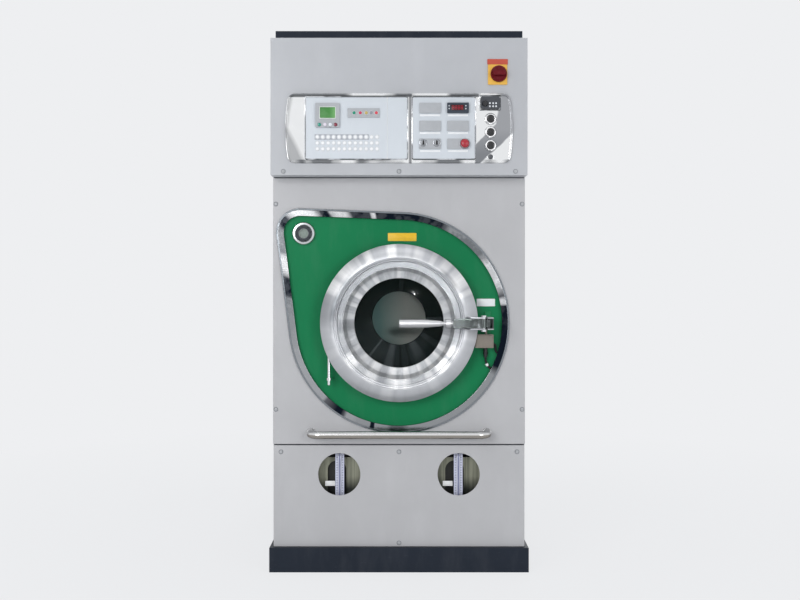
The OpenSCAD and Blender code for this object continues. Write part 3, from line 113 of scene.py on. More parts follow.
# ---- shader kit
class Wire:
    """A socket that does sums: each operator adds a Math node."""

    def __init__(self, shade, socket):
        self.shade, self.socket = shade, socket

    def _sum(self, operation, *values):
        return self.shade.node("Math", {"operation": operation}, dict(enumerate(values)))

    def __add__(self, other): return self._sum("ADD", self, other)
    def __radd__(self, other): return self._sum("ADD", other, self)
    def __sub__(self, other): return self._sum("SUBTRACT", self, other)
    def __rsub__(self, other): return self._sum("SUBTRACT", other, self)
    def __mul__(self, other): return self._sum("MULTIPLY", self, other)
    def __rmul__(self, other): return self._sum("MULTIPLY", other, self)
    def __truediv__(self, other): return self._sum("DIVIDE", self, other)
    def __abs__(self): return self._sum("ABSOLUTE", self)
    def __gt__(self, other): return self._sum("GREATER_THAN", self, other)
    def __lt__(self, other): return self._sum("LESS_THAN", self, other)
    def __mod__(self, other): return self._sum("FLOORED_MODULO", self, other)

    def sine(self): return self._sum("SINE", self)
    def cosine(self): return self._sum("COSINE", self)
    def root(self): return self._sum("SQRT", self)
    def least(self, other): return self._sum("MINIMUM", self, other)
    def most(self, other): return self._sum("MAXIMUM", self, other)
    def angle(self, other): return self._sum("ARCTAN2", self, other)

    def rise(self, low, high, start=0.0, end=1.0):
        """An even change from start to end, between two values."""
        return self.shade.node("MapRange", values={
            "Value": self, "From Min": low, "From Max": high, "To Min": start, "To Max": end})

    def fall(self, low, high):
        """An even change from 1 to 0, between two values."""
        return self.rise(low, high, 1.0, 0.0)

    def band(self, low, high, soft=0.0005):
        """1 between two values and 0 outside, with a soft edge."""
        return self.rise(low - soft, low + soft) * (1 - self.rise(high - soft, high + soft))


def span(across, up):
    """Length of the line to a point so far across and up."""
    return (across * across + up * up).root()


def nearest(value, places):
    """Distance from a value to the nearest of some places."""
    near = abs(value - places[0])
    for place in places[1:]:
        near = near.least(abs(value - place))
    return near


class Shade:
    """One material round a Principled shader, or the nodes of the world."""

    def __init__(self, name, tree=None, **constants):
        if tree:
            self.tree = tree
            tree.nodes.clear()
            self.end = tree.nodes.new("ShaderNodeOutputWorld")
            return
        self.material = bpy.data.materials.new(name)
        self.material.use_nodes = True
        self.tree = self.material.node_tree
        self.tree.nodes.clear()
        self.surface = self.tree.nodes.new("ShaderNodeBsdfPrincipled")
        self.end = self.tree.nodes.new("ShaderNodeOutputMaterial")
        self.output(Wire(self, self.surface.outputs[0]))
        self.place = self.node("TexCoord", output="Object")
        self.feed(**constants)

    def output(self, wire):
        self.link(self.end.inputs[0], wire)

    def feed(self, **values):
        """Set or wire the shader's own sockets, such as base_color for Base Color."""
        names = {"gloss": "Specular IOR Level", "ior": "IOR"}
        for key, value in values.items():
            self.link(self.surface.inputs[names.get(key, key.replace("_", " ").title())], value)

    def link(self, socket, value):
        """Wire a socket, or set it; a text is a six-digit colour."""
        if isinstance(value, Wire):
            self.tree.links.new(value.socket, socket)
        else:
            socket.default_value = linear(value) if isinstance(value, str) else value

    def node(self, kind, settings=None, values=None, output=0):
        """Add a shader node of any kind, with its settings and what its inputs get."""
        made = self.tree.nodes.new("ShaderNode" + kind)
        for key, value in (settings or {}).items():
            setattr(made, key, value)
        for key, value in (values or {}).items():
            self.link(made.inputs[key], value)
        return Wire(self, made.outputs[output])

    def seen(self):
        """1 for what the camera, a reflection or a pane of glass shows."""
        paths = [self.node("LightPath", output=kind)
                 for kind in ("Is Camera Ray", "Is Glossy Ray", "Is Transmission Ray")]
        return paths[0].most(paths[1]).most(paths[2])

    def axes(self, names):
        """Object coordinates by their letters, such as "xz"."""
        made = self.node("SeparateXYZ", values={0: self.place}).socket.node
        return [Wire(self, made.outputs[name.upper()]) for name in names]

    def stretch(self, x, y, z):
        return self.node("Mapping", values={"Vector": self.place, "Scale": (x, y, z)})

    def point(self, x, y, z):
        return self.node("CombineXYZ", values={0: x, 1: y, 2: z})

    def noise(self, scale, detail=3.0, rough=0.5, vector=None):
        return self.node("TexNoise", values={
            "Vector": vector or self.place, "Scale": scale, "Detail": detail, "Roughness": rough})

    def mix(self, factor, first, second):
        """Mix two colours."""
        return self.node("Mix", {"data_type": "RGBA"}, {0: factor, 6: first, 7: second}, 2)

    def lobes(self, angle, spots):
        """Painted patches of light or shade at some angles."""
        total = 0.0
        for place, half, strength in spots:
            near = (angle - radians(place)).cosine()
            total = near.rise(cos(radians(half)), cos(radians(half * 0.35)), 0.0, strength) + total
        return total

    def finish(self, colour, rough, height, distance, strength=0.4, **others):
        """Wire the colour, the roughness, a bump and other sockets, and hand over the material."""
        bump = self.node("Bump", values={"Strength": strength, "Distance": distance, "Height": height})
        self.feed(base_color=colour, roughness=rough, normal=bump, **others)
        return self.material


# ---- shared finishes
def mottled(shade, colour, dark=0.94, light=1.03, scale=3.0):
    """A colour with slow, faint changes over the surface."""
    return shade.mix(shade.noise(scale, 4.0, 0.6).rise(0.3, 0.7), tone(colour, dark), tone(colour, light))


def enamel(name, colour, rough=0.32, coat=0.1, wear=0.0, gloss=0.35):
    """Stoved enamel on sheet metal: orange peel, faint wipe marks, scuffs near the floor."""
    shade = Shade(name, coat_roughness=0.2, gloss=gloss)
    wipes = shade.noise(14.0, 5.0, 0.62, shade.stretch(1.0, 1.0, 0.25)).rise(0.5, 0.78)
    base = shade.mix(wipes * gloss * 0.15, mottled(shade, colour), (0.9, 0.9, 0.92, 1.0))
    if wear:
        (z,) = shade.axes("z")
        scuffs = shade.noise(60.0, 6.0, 0.75, shade.stretch(0.4, 0.4, 2.0)).rise(0.60, 0.70)
        base = shade.mix(scuffs * z.rise(0.02, 0.12, 1.0, 0.15) * wear, base, "8b8d92")
    return shade.finish(base, rough + wipes * 0.08, shade.noise(900.0, 2.0, 0.4), 0.00012, 0.35,
                        coat_weight=coat + wipes * 0.05)


def plastic(name, colour, rough=0.42, grain=2600.0, depth=0.00008, coat=0.0, gloss=0.5):
    """Moulded plastic, paper or dull plating with a fine grain and a little dust."""
    shade = Shade(name, gloss=gloss, coat_roughness=0.1, coat_weight=coat)
    dust = shade.noise(160.0, 4.0, 0.6).rise(0.52, 0.75)
    base = shade.mix(dust * 0.03, mottled(shade, colour, 0.92, 1.04, 40.0), (0.6, 0.6, 0.6, 1.0))
    return shade.finish(base, rough + dust * 0.1, shade.noise(grain, 2.0, 0.5), depth)


def chrome(name, tint="e6e8ea", rough=0.06, dark="3b3e43", scale=6.0, share=0.5):
    """Bright plating, with soft dark patches of painted reflection."""
    shade = Shade(name, metallic=1.0)
    smears = shade.noise(30.0, 5.0, 0.65).rise(0.5, 0.8)
    # Painted reflection: soft dark patches in the dark colour, share setting how much they cover
    painted_reflection = shade.noise(scale, 3.0, 0.55, shade.stretch(1.0, 0.3, 1.0)).rise(share - 0.05, share + 0.05)
    base = shade.mix(painted_reflection * 0.85, tint, dark)
    return shade.finish(shade.mix(smears * 0.2, base, "c8ccd2"), rough + smears * 0.08,
                        shade.noise(9.0, 2.0, 0.5), 0.0009, 0.35)


def brushed(name, tint, rough, along=(4.0, 4.0, 900.0)):
    """Metal with straight brush lines."""
    shade = Shade(name, metallic=1.0)
    lines = shade.noise(1.0, 3.0, 0.6, shade.stretch(*along))
    smears = shade.noise(18.0, 5.0, 0.6).rise(0.45, 0.8)
    return shade.finish(shade.mix(lines * 0.3, tint, "a9adb2"), rough + lines * 0.12 + smears * 0.06,
                        lines, 0.00006, 0.5)


def turned(name, tint="b9bbbf", dark="8f9296", rough=0.26, spots=(), rays=0.0, dim=(), split=0.0, inner=(),
           inner_tint=None, crest=(), band=0.0, satin=0.0):
    """Metal polished in circles about the drum's axis, with painted streaks of reflection at some angles.

    spots are painted highlights outside the radius split and inner within it, dim is painted shade all over
    and crest painted shade along it. band is painted shade on the step's upper half, rays sets how far the
    painted radial streaks darken the tint, and satin dulls the metal in the funnel's mouth.
    """
    shade = Shade(name, metallic=1.0)
    x, y, z = shade.axes("xyz")
    up = z - AXIS
    radius, angle = span(x, up), up.angle(x)
    lines = shade.noise(1.0, 3.0, 0.65, shade.point(radius * 1500.0, y * 900.0, angle * 1.2))
    # Painted reflection: radial streaks round the axis
    around = shade.point(angle.sine() * 7.0, angle.cosine() * 7.0, (radius - y) * 5.0)
    rayed = shade.noise(1.0, 4.0, 0.7, around).rise(0.38, 0.62)
    # Painted highlights at the angles in spots, and within split at those in inner
    glow = (shade.lobes(angle, spots) * (0.55 + rayed * 0.45)).least(1.0)
    if inner:
        within = radius.fall(split - 0.0006, split)
        if inner_tint:
            tint = shade.mix(within, tint, inner_tint)
        inside = (shade.lobes(angle, inner) * (0.45 + rayed * 0.55)).least(1.0)
        glow = glow * (1 - within) + inside * within
    # Turning lines and, as much as rays gives, the painted radial streaks darken the tint; then the painted
    # highlights
    base = shade.mix((lines * 0.35 + rayed * rays).least(1.0), tint, dark)
    base = shade.mix(glow, base, "fdfdfd")
    # Painted shade at the angles in dim
    if dim:
        base = shade.mix(shade.lobes(angle, dim).least(1.0), base, "5d6065")
    # Painted shade along the crest at the angles in crest, and a thin line of painted shade just inside it,
    # for a step
    if crest:
        edge = radius.rise(split - 0.007, split - 0.001) * radius.fall(split + 0.006, split + 0.016)
        base = shade.mix((shade.lobes(angle, crest) * edge).least(1.0), base, "63676b")
        base = shade.mix(radius.band(split - 0.0035, split - 0.0022, 0.0004) * 0.6, base, "3b3e42")
    # Painted shade on the upper half of the step
    if band:
        upper = (angle + 0.15).sine().rise(-0.1214, 0.0809)
        base = shade.mix(radius.band(0.1990, 0.2325, 0.0015) * upper * band, base, "85888c")
    if satin:
        shade.feed(metallic=1.0 - radius.rise(0.1978, 0.1985, satin, 0.0))
    return shade.finish(base, rough + lines * 0.12 - glow * 0.04, lines, 0.00004, 0.5)


def cast(name, colour):
    """Cast metal under a coat of paint."""
    shade = Shade(name, metallic=0.25)
    chips = shade.noise(120.0, 6.0, 0.7).rise(0.62, 0.7)
    base = shade.mix(chips * 0.4, mottled(shade, colour, 0.82, 1.1, 25.0), "b9bbbd")
    pits = shade.node("TexVoronoi", values={"Vector": shade.place, "Scale": 420.0}, output="Distance")
    return shade.finish(base, 0.55 - chips * 0.15, pits + shade.noise(300.0, 3.0, 0.6), 0.0003, 0.5)


def rubber(name, colour):
    """Rubber with a pale bloom."""
    shade = Shade(name, gloss=0.35)
    bloom = shade.noise(50.0, 5.0, 0.7).rise(0.5, 0.8)
    return shade.finish(shade.mix(bloom * 0.18, colour, "5a5c5e"), 0.62 + bloom * 0.12,
                        shade.noise(1500.0, 2.0, 0.5), 0.00008, 0.5)


# ---- finishes of the inside
def perforated():
    """Dull stainless sheet of the cage with painted shade and light: holes in its wall and back, a pale disc
    in the back's middle.
    """
    shade = Shade("cage_sheet", gloss=0.2)
    x, y, z = shade.axes("xyz")
    up = z - AXIS
    radius, angle = span(x, up), up.angle(x)
    around, along = angle * 0.345 / HOLE_PITCH, y / HOLE_PITCH
    column = around % 1.0
    row = (along + (around - column) * 0.5) % 1.0
    shell = (radius > 0.3405) * y.band(FRONT + 0.10, FRONT + 0.63)
    flat = span((x / HOLE_PITCH % 1.0) - 0.5, (z / HOLE_PITCH % 1.0) - 0.5)
    back = (y > FRONT + 0.64) * (radius > 0.215) * (radius < 0.33)
    # The holes are painted near black: painted shade seen through them
    hole = ((span(column - 0.5, row - 0.5) < 0.22) * shell).most((flat < 0.22) * back)
    disc = (radius < 0.1125) * (y > FRONT + 0.60)
    lines = shade.noise(1.0, 3.0, 0.6, shade.stretch(30.0, 600.0, 30.0))
    # Painted shade and light: darker towards the top, with painted highlight streaks and painted shade
    # streaks at some angles
    base = shade.mix((z + x * 0.25).rise(AXIS - 0.02, AXIS - 0.16), "0a1112", "3f474b")
    base = shade.mix(shade.lobes(angle, CAGE_LIGHT) * (0.4 + lines * 0.6), base, "8b9499")
    base = shade.mix(shade.lobes(angle, CAGE_DARK) * 0.8, base, "0d1112")
    base = shade.mix((radius > 0.215) * 0.6, base, "6c7377")
    # The pale disc is partly painted light: its colours are made paler to stand in for light, and lighter
    # towards the right
    sheen = (x + shade.noise(5.0) * 0.05).rise(-0.06, 0.06)
    base = shade.mix(disc, base, shade.mix(sheen, "93bfbb", "e6ebe4"))
    return shade.finish(shade.mix(hole, base, "070808"), 0.42 + lines * 0.1 + hole * 0.4 + disc * 0.1,
                        lines, 0.00005, 0.4, metallic=0.4 - hole * 0.4 - disc * 0.35)


def tank_paint():
    """Tank front with painted highlights as pale upright sheens, painted shade towards its foot and black
    painted shade in the sight recess.
    """
    shade = Shade("tank_sheet")
    x, y, z = shade.axes("xyz")
    # Painted highlights: pale upright sheens
    sheen = shade.noise(1.0, 3.0, 0.6, shade.point(x * 85.0, y * 8.0, z * 1.5))
    base = shade.mix(sheen.rise(0.35, 0.65), "77796a", "a9aa97")
    # Painted shade towards the foot
    foot = (z + shade.noise(12.0) * 0.03).fall(0.300, 0.345)
    base = shade.mix(foot * 0.9, base, "1d2422")
    # Painted shade: the sight recess is near black and less metallic
    inside = y.rise(FRONT + 0.064, FRONT + 0.066) * y.fall(FRONT + 0.10, FRONT + 0.11)
    return shade.finish(shade.mix(inside * 0.96, base, "0d0f0f"), 0.38 + sheen * 0.15, sheen, 0.0004, 0.4,
                        metallic=0.35 - inside * 0.35)


def level_scale():
    """Pale scale with dark graduations on both sides of a thin dark line."""
    shade = Shade("level_scale")
    x, y, z = shade.axes("xyz")
    across = abs(abs(x) - WINDOW_X)
    ticks = (z / 0.006 % 1.0).band(0.0, 0.42, 0.06) * across.band(0.0075, 0.0125, 0.0004)
    base = shade.mix(ticks * 0.9, mottled(shade, "dcdfee", 0.95, 1.02, 30.0), "3f4474")
    base = shade.mix(across.band(0.0138, 0.02, 0.0003) * 0.45, base, "9a9fc4")
    base = shade.mix(across.band(-0.01, 0.0018, 0.0004) * 0.9, base, "343c7c")
    behind = y.rise(FRONT + 0.0345, FRONT + 0.036)
    return shade.finish(shade.mix(behind, base, "8d8f92"), 0.3, shade.noise(900.0), 0.00004, 0.3)


def belt_web():
    """Black belts with a fine weave."""
    shade = Shade("belt_web", gloss=0.3)
    ribs = shade.noise(900.0, 2.0, 0.6)
    return shade.finish(shade.mix(ribs * 0.5, "151618", "2c2d30"), 0.7 + ribs * 0.1, ribs, 0.0001, 0.5)


# ---- finishes of the door and what stands round it
def trim_chrome():
    """The port trim's plating: painted reflections as dark and light patches round its face, between grey
    edges of painted shade.
    """
    shade = Shade("trim_chrome", metallic=1.0)
    x, y, z = shade.axes("xyz")
    # Painted reflections: dark and light patches at angles round the axis, with ragged edges
    ragged = (z - AXIS).angle(x) + shade.noise(9.0, 3.0, 0.55) * 0.10 - 0.05
    painted_reflection = shade.lobes(ragged, TRIM_DARK).rise(0.25, 0.6)
    light = shade.lobes(ragged, TRIM_LIGHT).least(1.0)
    # The upper half is paler and mottled: painted light and painted reflection
    upper = z.rise(AXIS - 0.05, AXIS + 0.12)
    painted_flecks = shade.noise(38.0, 3.0, 0.6, shade.point(x, 0.3, z)).rise(0.42, 0.58)
    base = shade.mix(upper * painted_flecks * 0.6, "94979a", "565b60")
    base = shade.mix(painted_reflection * (1 - painted_flecks * upper * 0.25), base, "141b26")
    bright = shade.mix(upper, "b9bbbf", "f2f3f5")
    base = shade.mix(light * (1 - painted_flecks * upper * 0.3), base, bright)
    # The slopes behind the face get a flat grey: painted shade
    face = y.fall(FRONT - 0.0086, FRONT - 0.0074)
    return shade.finish(shade.mix(face, "868b90", base), 0.15 + painted_flecks * 0.06,
                        shade.noise(9.0, 2.0, 0.5), 0.0009, 0.35)


def clear_glass():
    """A clear, slightly dark pane with a few smears."""
    shade = Shade("door_pane", ior=1.45, gloss=0.2)
    smears = shade.noise(12.0, 5.0, 0.65).rise(0.55, 0.85)
    shade.feed(base_color=shade.mix(smears * 0.4, "12201d", "8f9c97"), roughness=0.03 + smears * 0.1,
               alpha=0.14 + smears * 0.05)
    return shade.material


def rail_metal():
    """Worn plating, with painted reflections: darker along the top and warm underneath."""
    shade = Shade("rail_plating", metallic=1.0)
    (z,) = shade.axes("z")
    up = z - RAIL_Z
    worn = shade.noise(1.0, 4.0, 0.6, shade.stretch(9.0, 60.0, 60.0))
    # Painted reflections: darker along the top and warm underneath
    base = shade.mix(up.rise(0.004, 0.011) * 0.75, "eceded", "87888a")
    base = shade.mix(up.fall(-0.001, 0.0035) * 0.92, base, "8a8379")
    return shade.finish(shade.mix(worn * 0.35, base, "a8a6a4"), 0.18 + worn * 0.14, worn, 0.0001)


def keeper_steel():
    """Plated steel with painted shade in its mouth, on a foot in the port plate's green."""
    shade = Shade("keeper_steel", gloss=0.25)
    y, z = shade.axes("yz")
    height = abs(z - AXIS)
    # Painted shade: the channel's mouth is dark
    mouth = height.band(-0.1, 0.0176, 0.0003) * y.fall(FRONT - 0.06, FRONT - 0.04)
    foot = height > 0.0216
    worn = shade.noise(120.0, 4.0, 0.6)
    base = shade.mix(mouth * 0.85, shade.mix(worn * 0.5, "b4b7ba", "6e7275"), "1f2224")
    return shade.finish(shade.mix(foot, base, PORT_GREEN), 0.3 + worn * 0.2, worn, 0.0001, 0.4,
                        metallic=0.9 - foot * 0.9)


def switch_box():
    """Warm grey paint, with black glands under and beside the box."""
    shade = Shade("switch_box_paint", gloss=0.35)
    x, z = shade.axes("xz")
    gland = (z < AXIS - 0.0892).most(x > 0.3371)
    base = shade.mix(gland, mottled(shade, "837c73", 0.93, 1.04, 30.0), "17181b")
    return shade.finish(base, 0.42 - gland * 0.1 + shade.noise(60.0) * 0.08,
                        shade.noise(700.0, 2.0, 0.5), 0.00008)


def grip_metal():
    """Satin alloy, turned about the grip's own length."""
    shade = Shade("grip_alloy", metallic=0.85)
    (z,) = shade.axes("z")
    rings = shade.noise(1.0, 3.0, 0.6, shade.stretch(900.0, 12.0, 12.0))
    base = shade.mix(rings * 0.4, "cbccce", "a6a7a9")
    # Painted shade: darker towards the underside
    base = shade.mix(z.fall(AXIS - 0.013, AXIS + 0.004) * 0.6, base, "7b7b7d")
    return shade.finish(base, 0.3 + rings * 0.12, rings, 0.00006, 0.5)


def sight_metal():
    """Machined rings of the sight glass, a dark nut and the dull glass in its middle."""
    shade = Shade("sight_metal")
    x, y, z = shade.axes("xyz")
    radius = span(x - SIGHT[0], z - SIGHT[1])
    lines = shade.noise(1.0, 2.0, 0.6, shade.point(radius * 1500.0, y * 300.0, 0.0))
    nut = radius.band(0.0172, 0.0291, 0.0004)
    glass = 1 - radius.rise(0.0164, 0.0168)
    base = shade.mix(nut, shade.mix(lines * 0.3, "d2d4d7", "9a9ea1"), "383b3e")
    base = shade.mix(glass, base, mottled(shade, "7e8a83", 0.7, 1.15, 160.0))
    return shade.finish(base, 0.2 + lines * 0.12 + nut * 0.15, lines, 0.00005, 0.5,
                        metallic=1.0 - glass * 0.8)


# ---- finishes of the control panel
def bezel_chrome():
    """The bezel's plating with painted reflections: a white sweep at the left, a grey one across the right
    end.
    """
    shade = Shade("bezel_chrome", metallic=1.0)
    x, z = shade.axes("xz")
    up = z - BEZEL_Z
    wave = shade.noise(22.0, 3.0, 0.55) * 0.012 - 0.006
    # Painted reflection: a grey sweep from the upper right corner down to the left, pale on both sides of it
    start = (0.346 + (up - 0.166) * 0.2).least(0.335 + (up - 0.133) * 0.95)
    stop = 0.346 + (up - 0.056) * 1.08
    right = (x + wave).band(0.268, 0.5, 0.002)
    sweep = (x - start + wave).rise(-0.003, 0.003) * (x - stop + wave).fall(-0.003, 0.004)
    # Painted reflections: grey corners of the left end
    left = x.band(-0.5, -0.328, 0.002)
    foot = (up + (x + 0.36) * 1.9 + wave).fall(0.040, 0.075)
    edge = (up * 0.2 - (x + 0.376) * 1.3 + wave).rise(0.040, 0.055)
    # Painted reflections: grey stretches in the upper and lower margins, and between the plates
    margins = 1 - up.band(0.013, 0.233, 0.001)
    along = shade.noise(1.0, 1.0, 0.4, shade.point(x * 9.0, up * 6.0, 0.0)).rise(0.44, 0.56)
    gap = x.band(0.035, 0.0445, 0.002)
    grey = (left * (foot * 0.5 + edge * 0.45) + margins * along * 0.85 + gap * 0.75).least(0.9)
    base = shade.mix(grey, "f6f7f7", "5a5d62")
    base = shade.mix(right * sweep * 0.92, base, shade.mix(up.fall(0.03, 0.12), "a0a2a6", "7c7f84"))
    # Painted highlights: white rings round the push buttons, each with a dark outline of painted shade
    ring = span(x - BUTTON_X, nearest(up, BUTTON_ROWS))
    base = shade.mix(ring.rise(0.0212, 0.0218, 0.6, 0.0), base, "3c3f44")
    base = shade.mix(ring.fall(0.0196, 0.0202), base, "fbfbfc")
    smears = shade.noise(40.0, 5.0, 0.65).rise(0.5, 0.8)
    return shade.finish(base, 0.07 + smears * 0.07, shade.noise(9.0, 2.0, 0.5), 0.0006, 0.3)


def key_faces():
    """Round membrane keys, each with a faint grey ring, on a grey backing."""
    shade = Shade("key_faces")
    x, z = shade.axes("xz")
    across = ((x + 0.2874) / KEY_PITCH + 0.5) % 1.0 - 0.5
    spot = span(across, nearest(z - BEZEL_Z, KEY_ROWS) / KEY_PITCH)
    base = shade.mix(spot.band(0.30, 0.40, 0.03) * 0.7, mottled(shade, "f0f1f3", 0.95, 1.0, 60.0), "aab0b6")
    return shade.finish(shade.mix(spot.rise(0.425, 0.44), base, "a4a8b0"), 0.35,
                        shade.noise(1500.0), 0.00004, 0.3)


def warning_plate():
    """Yellow plate whose upper strip is red."""
    shade = Shade("switch_plate_print")
    (z,) = shade.axes("z")
    red = z.rise(HOUSING_Z + 0.3890, HOUSING_Z + 0.3895)
    base = shade.mix(red, mottled(shade, "e4b248", 0.92, 1.05, 30.0), "bb4a34")
    return shade.finish(base, 0.35 + shade.noise(200.0) * 0.1, shade.noise(1800.0), 0.00005, 0.3)


def module_plastic():
    """Grey moulded modules; the one with the red display is dark."""
    shade = Shade("module_grey", gloss=0.35)
    x, z = shade.axes("xz")
    dark = x.band(0.165, 0.248, 0.0002) * (z - BEZEL_Z).band(0.172, 0.214, 0.0002)
    base = shade.mix(dark, mottled(shade, "adb0b4", 0.94, 1.04, 40.0), "2f3843")
    return shade.finish(base, 0.42 + shade.noise(200.0) * 0.1, shade.noise(2600.0, 2.0, 0.5), 0.00006)


def timer_plastic():
    """The timer's dark case, with six pale setting spots."""
    shade = Shade("timer_case", gloss=0.4, coat_weight=0.1)
    (y,) = shade.axes("y")
    spots = y.fall(HOUSING - 0.0166, HOUSING - 0.0162)
    base = shade.mix(spots, mottled(shade, "3d4046", 0.9, 1.1, 40.0), "d9dce0")
    return shade.finish(base, 0.36 + shade.noise(200.0) * 0.1, shade.noise(2200.0, 2.0, 0.5), 0.00006)


def selector_finish():
    """A plated collar under a black bar."""
    shade = Shade("selector_finish")
    (y,) = shade.axes("y")
    bar = y.fall(HOUSING - 0.0187, HOUSING - 0.0184)
    worn = shade.noise(300.0, 3.0)
    base = shade.mix(bar, shade.mix(worn * 0.4, "b9bcc0", "8d9196"), "1a1b1f")
    return shade.finish(base, 0.2 + worn * 0.15, worn, 0.00004, 0.4, metallic=1.0 - bar)


# ---- mesh kit
def placed(name, data):
    """A new object in the scene."""
    made = bpy.data.objects.new(name, data)
    bpy.context.scene.collection.objects.link(made)
    return made


def mesh_of(name, bm):
    """Turn a bmesh into a mesh."""
    mesh = bpy.data.meshes.new(name)
    bm.to_mesh(mesh)
    bm.free()
    return mesh


def dress(name, mesh, material, body, smooth):
    """Put a finished mesh in the scene, and let it ride on a body."""
    made = placed(name, mesh)
    mesh.materials.append(material)
    mesh.shade_smooth()
    mesh.set_sharp_from_angle(angle=radians(smooth))
    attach(made, body)
    return made


def piece(name, bm, material, place=Matrix(), smooth=40):
    """Make a small part of the cabinet, in the machine's own frame."""
    bm.transform(place)
    bmesh.ops.remove_doubles(bm, verts=bm.verts, dist=WELD)
    bmesh.ops.recalc_face_normals(bm, faces=bm.faces)
    dress(name, mesh_of(name, bm), material, "cabinet", smooth)


def edged(node, material, width, body="cabinet", segments=2, angle=30):
    """Stand in for a CAD node with the same shape, its flat faces whole and its edges rounded."""
    bm = bmesh.new()
    bm.from_mesh(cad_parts[node].data)
    bmesh.ops.remove_doubles(bm, verts=bm.verts, dist=2e-5)
    bmesh.ops.dissolve_limit(bm, angle_limit=radians(1.0), verts=bm.verts, edges=bm.edges)
    name = node + "_finished"
    made = dress(name, mesh_of(name, bm), material, body, angle)
    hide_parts(node)
    bevel = made.modifiers.new("rounded_edges", "BEVEL")
    bevel.width, bevel.segments, bevel.limit_method = width * MM, segments, "ANGLE"
    bevel.angle_limit = radians(angle)
    bevel.harden_normals = True


def paint(material, *nodes):
    """Give CAD nodes a material, with their shape left as it is."""
    for node in nodes:
        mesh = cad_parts[node].data
        mesh.materials.clear()
        mesh.materials.append(material)


def at_front(x, z, ahead, face=FRONT):
    """Matrix from a part's own space, Z forwards, to its place in millimetres on a front face."""
    return Matrix.Translation((x * MM, face - ahead * MM, z * MM)) @ Matrix.Rotation(pi / 2, 4, "X")


def on_bezel(x, up, ahead):
    """The same for a part of the control panel, up from the bezel's foot."""
    return at_front(x, BEZEL_Z / MM + up, ahead, HOUSING)


def turned_shape(profile, steps=32):
    """Spin a profile of (radius, height) in millimetres about Z."""
    bm = bmesh.new()
    verts = [bm.verts.new((r * MM, 0, h * MM)) for r, h in profile]
    edges = [bm.edges.new(pair) for pair in zip(verts, verts[1:])]
    bmesh.ops.spin(bm, geom=verts + edges, cent=(0, 0, 0), axis=(0, 0, 1), angle=2 * pi, steps=steps,
                   use_merge=True)
    bmesh.ops.remove_doubles(bm, verts=bm.verts, dist=WELD)
    return bm


def rounded(bm, edges, width, segments=2):
    """Round some edges by a width in millimetres."""
    bmesh.ops.bevel(bm, geom=edges, offset=width * MM, affect="EDGES", segments=segments, profile=0.5,
                    material=-1)


def plate_shape(width, height, thick, corner, edge, segments=4):
    """A flat plate with rounded corners and softened edges, its back at Z = 0."""
    bm = bmesh.new()
    depth = thick * MM
    bmesh.ops.create_cube(bm, size=1.0)
    bmesh.ops.scale(bm, vec=(width * MM, height * MM, depth), verts=bm.verts)
    bmesh.ops.translate(bm, vec=(0, 0, depth / 2), verts=bm.verts)
    rounded(bm, [e for e in bm.edges if abs(e.verts[0].co.z - e.verts[1].co.z) > depth * 0.5],
            corner, segments)
    rounded(bm, [e for e in bm.edges if all(v.co.z > depth * 0.99 for v in e.verts)
                 and len(e.link_faces) == 2 and any(abs(f.normal.z) < 0.5 for f in e.link_faces)], edge)
    return bm


def frame_shape(width, height, rim, thick, corner):
    """A raised frame with rounded corners round an opening, its back at Z = 0."""
    edge = rim * 0.3
    bm = plate_shape(width + 2 * rim, height + 2 * rim, thick, corner, edge, 6)
    bm.normal_update()
    loops = []
    for level, inset in ((thick * MM, rim - edge), (0.0, rim)):
        cap = [f for f in bm.faces if all(abs(v.co.z - level) < WELD for v in f.verts)]
        bmesh.ops.inset_individual(bm, faces=cap, thickness=inset * MM, use_even_offset=True)
        loops += list(cap[0].edges)
        bmesh.ops.delete(bm, geom=cap, context="FACES_ONLY")
    bmesh.ops.bridge_loops(bm, edges=loops)
    bm.normal_update()
    rounded(bm, [e for e in bm.edges if all(abs(v.co.z - thick * MM) < WELD for v in e.verts)
                 and sorted(round(abs(f.normal.z)) for f in e.link_faces) == [0, 1]], edge)
    return bm


def joined(parts):
    """One bmesh of several (bmesh, matrix) pairs."""
    whole = bmesh.new()
    for bm, matrix in parts:
        bm.transform(matrix)
        mesh = mesh_of("part", bm)
        whole.from_mesh(mesh)
        bpy.data.meshes.remove(mesh)
    return whole


# ---- settings
def colour_setting(name, description, text):
    """A colour in the sidebar, given as six digits."""
    return FloatVectorProperty(name=name, description=description, subtype="COLOR", size=4,
                               default=linear(text))


class MachineColours(bpy.types.PropertyGroup):
    """Paints and plastics of the machine"""
    panel: colour_setting("Panels", "Enamel of the cabinet's panels", "b9b9bb")
    housing: colour_setting("Housing", "Enamel of the control housing", "b7b9bd")
    tray: colour_setting("Tray and cover", "Enamel of the spill tray and the top cover", "262c36")
    port: colour_setting("Port plate", "Enamel of the plate round the loading door", PORT_GREEN)
    plate: colour_setting("Control plates", "Finish of the white control plates", "d0d6dc")


class MachineSizes(bpy.types.PropertyGroup):
    """Sizes of the small parts"""
    screw: FloatProperty(name="Screw head", description="Radius of a panel screw's head",
                         default=0.006, min=0.003, max=0.01, unit="LENGTH")
    sticker: FloatProperty(name="Sticker thickness", description="Thickness of the blank stickers and labels",
                           default=0.0006, min=0.0002, max=0.002, unit="LENGTH")


class MachineOperator:
    """Common part of the operators"""
    bl_options = {"REGISTER", "UNDO"}


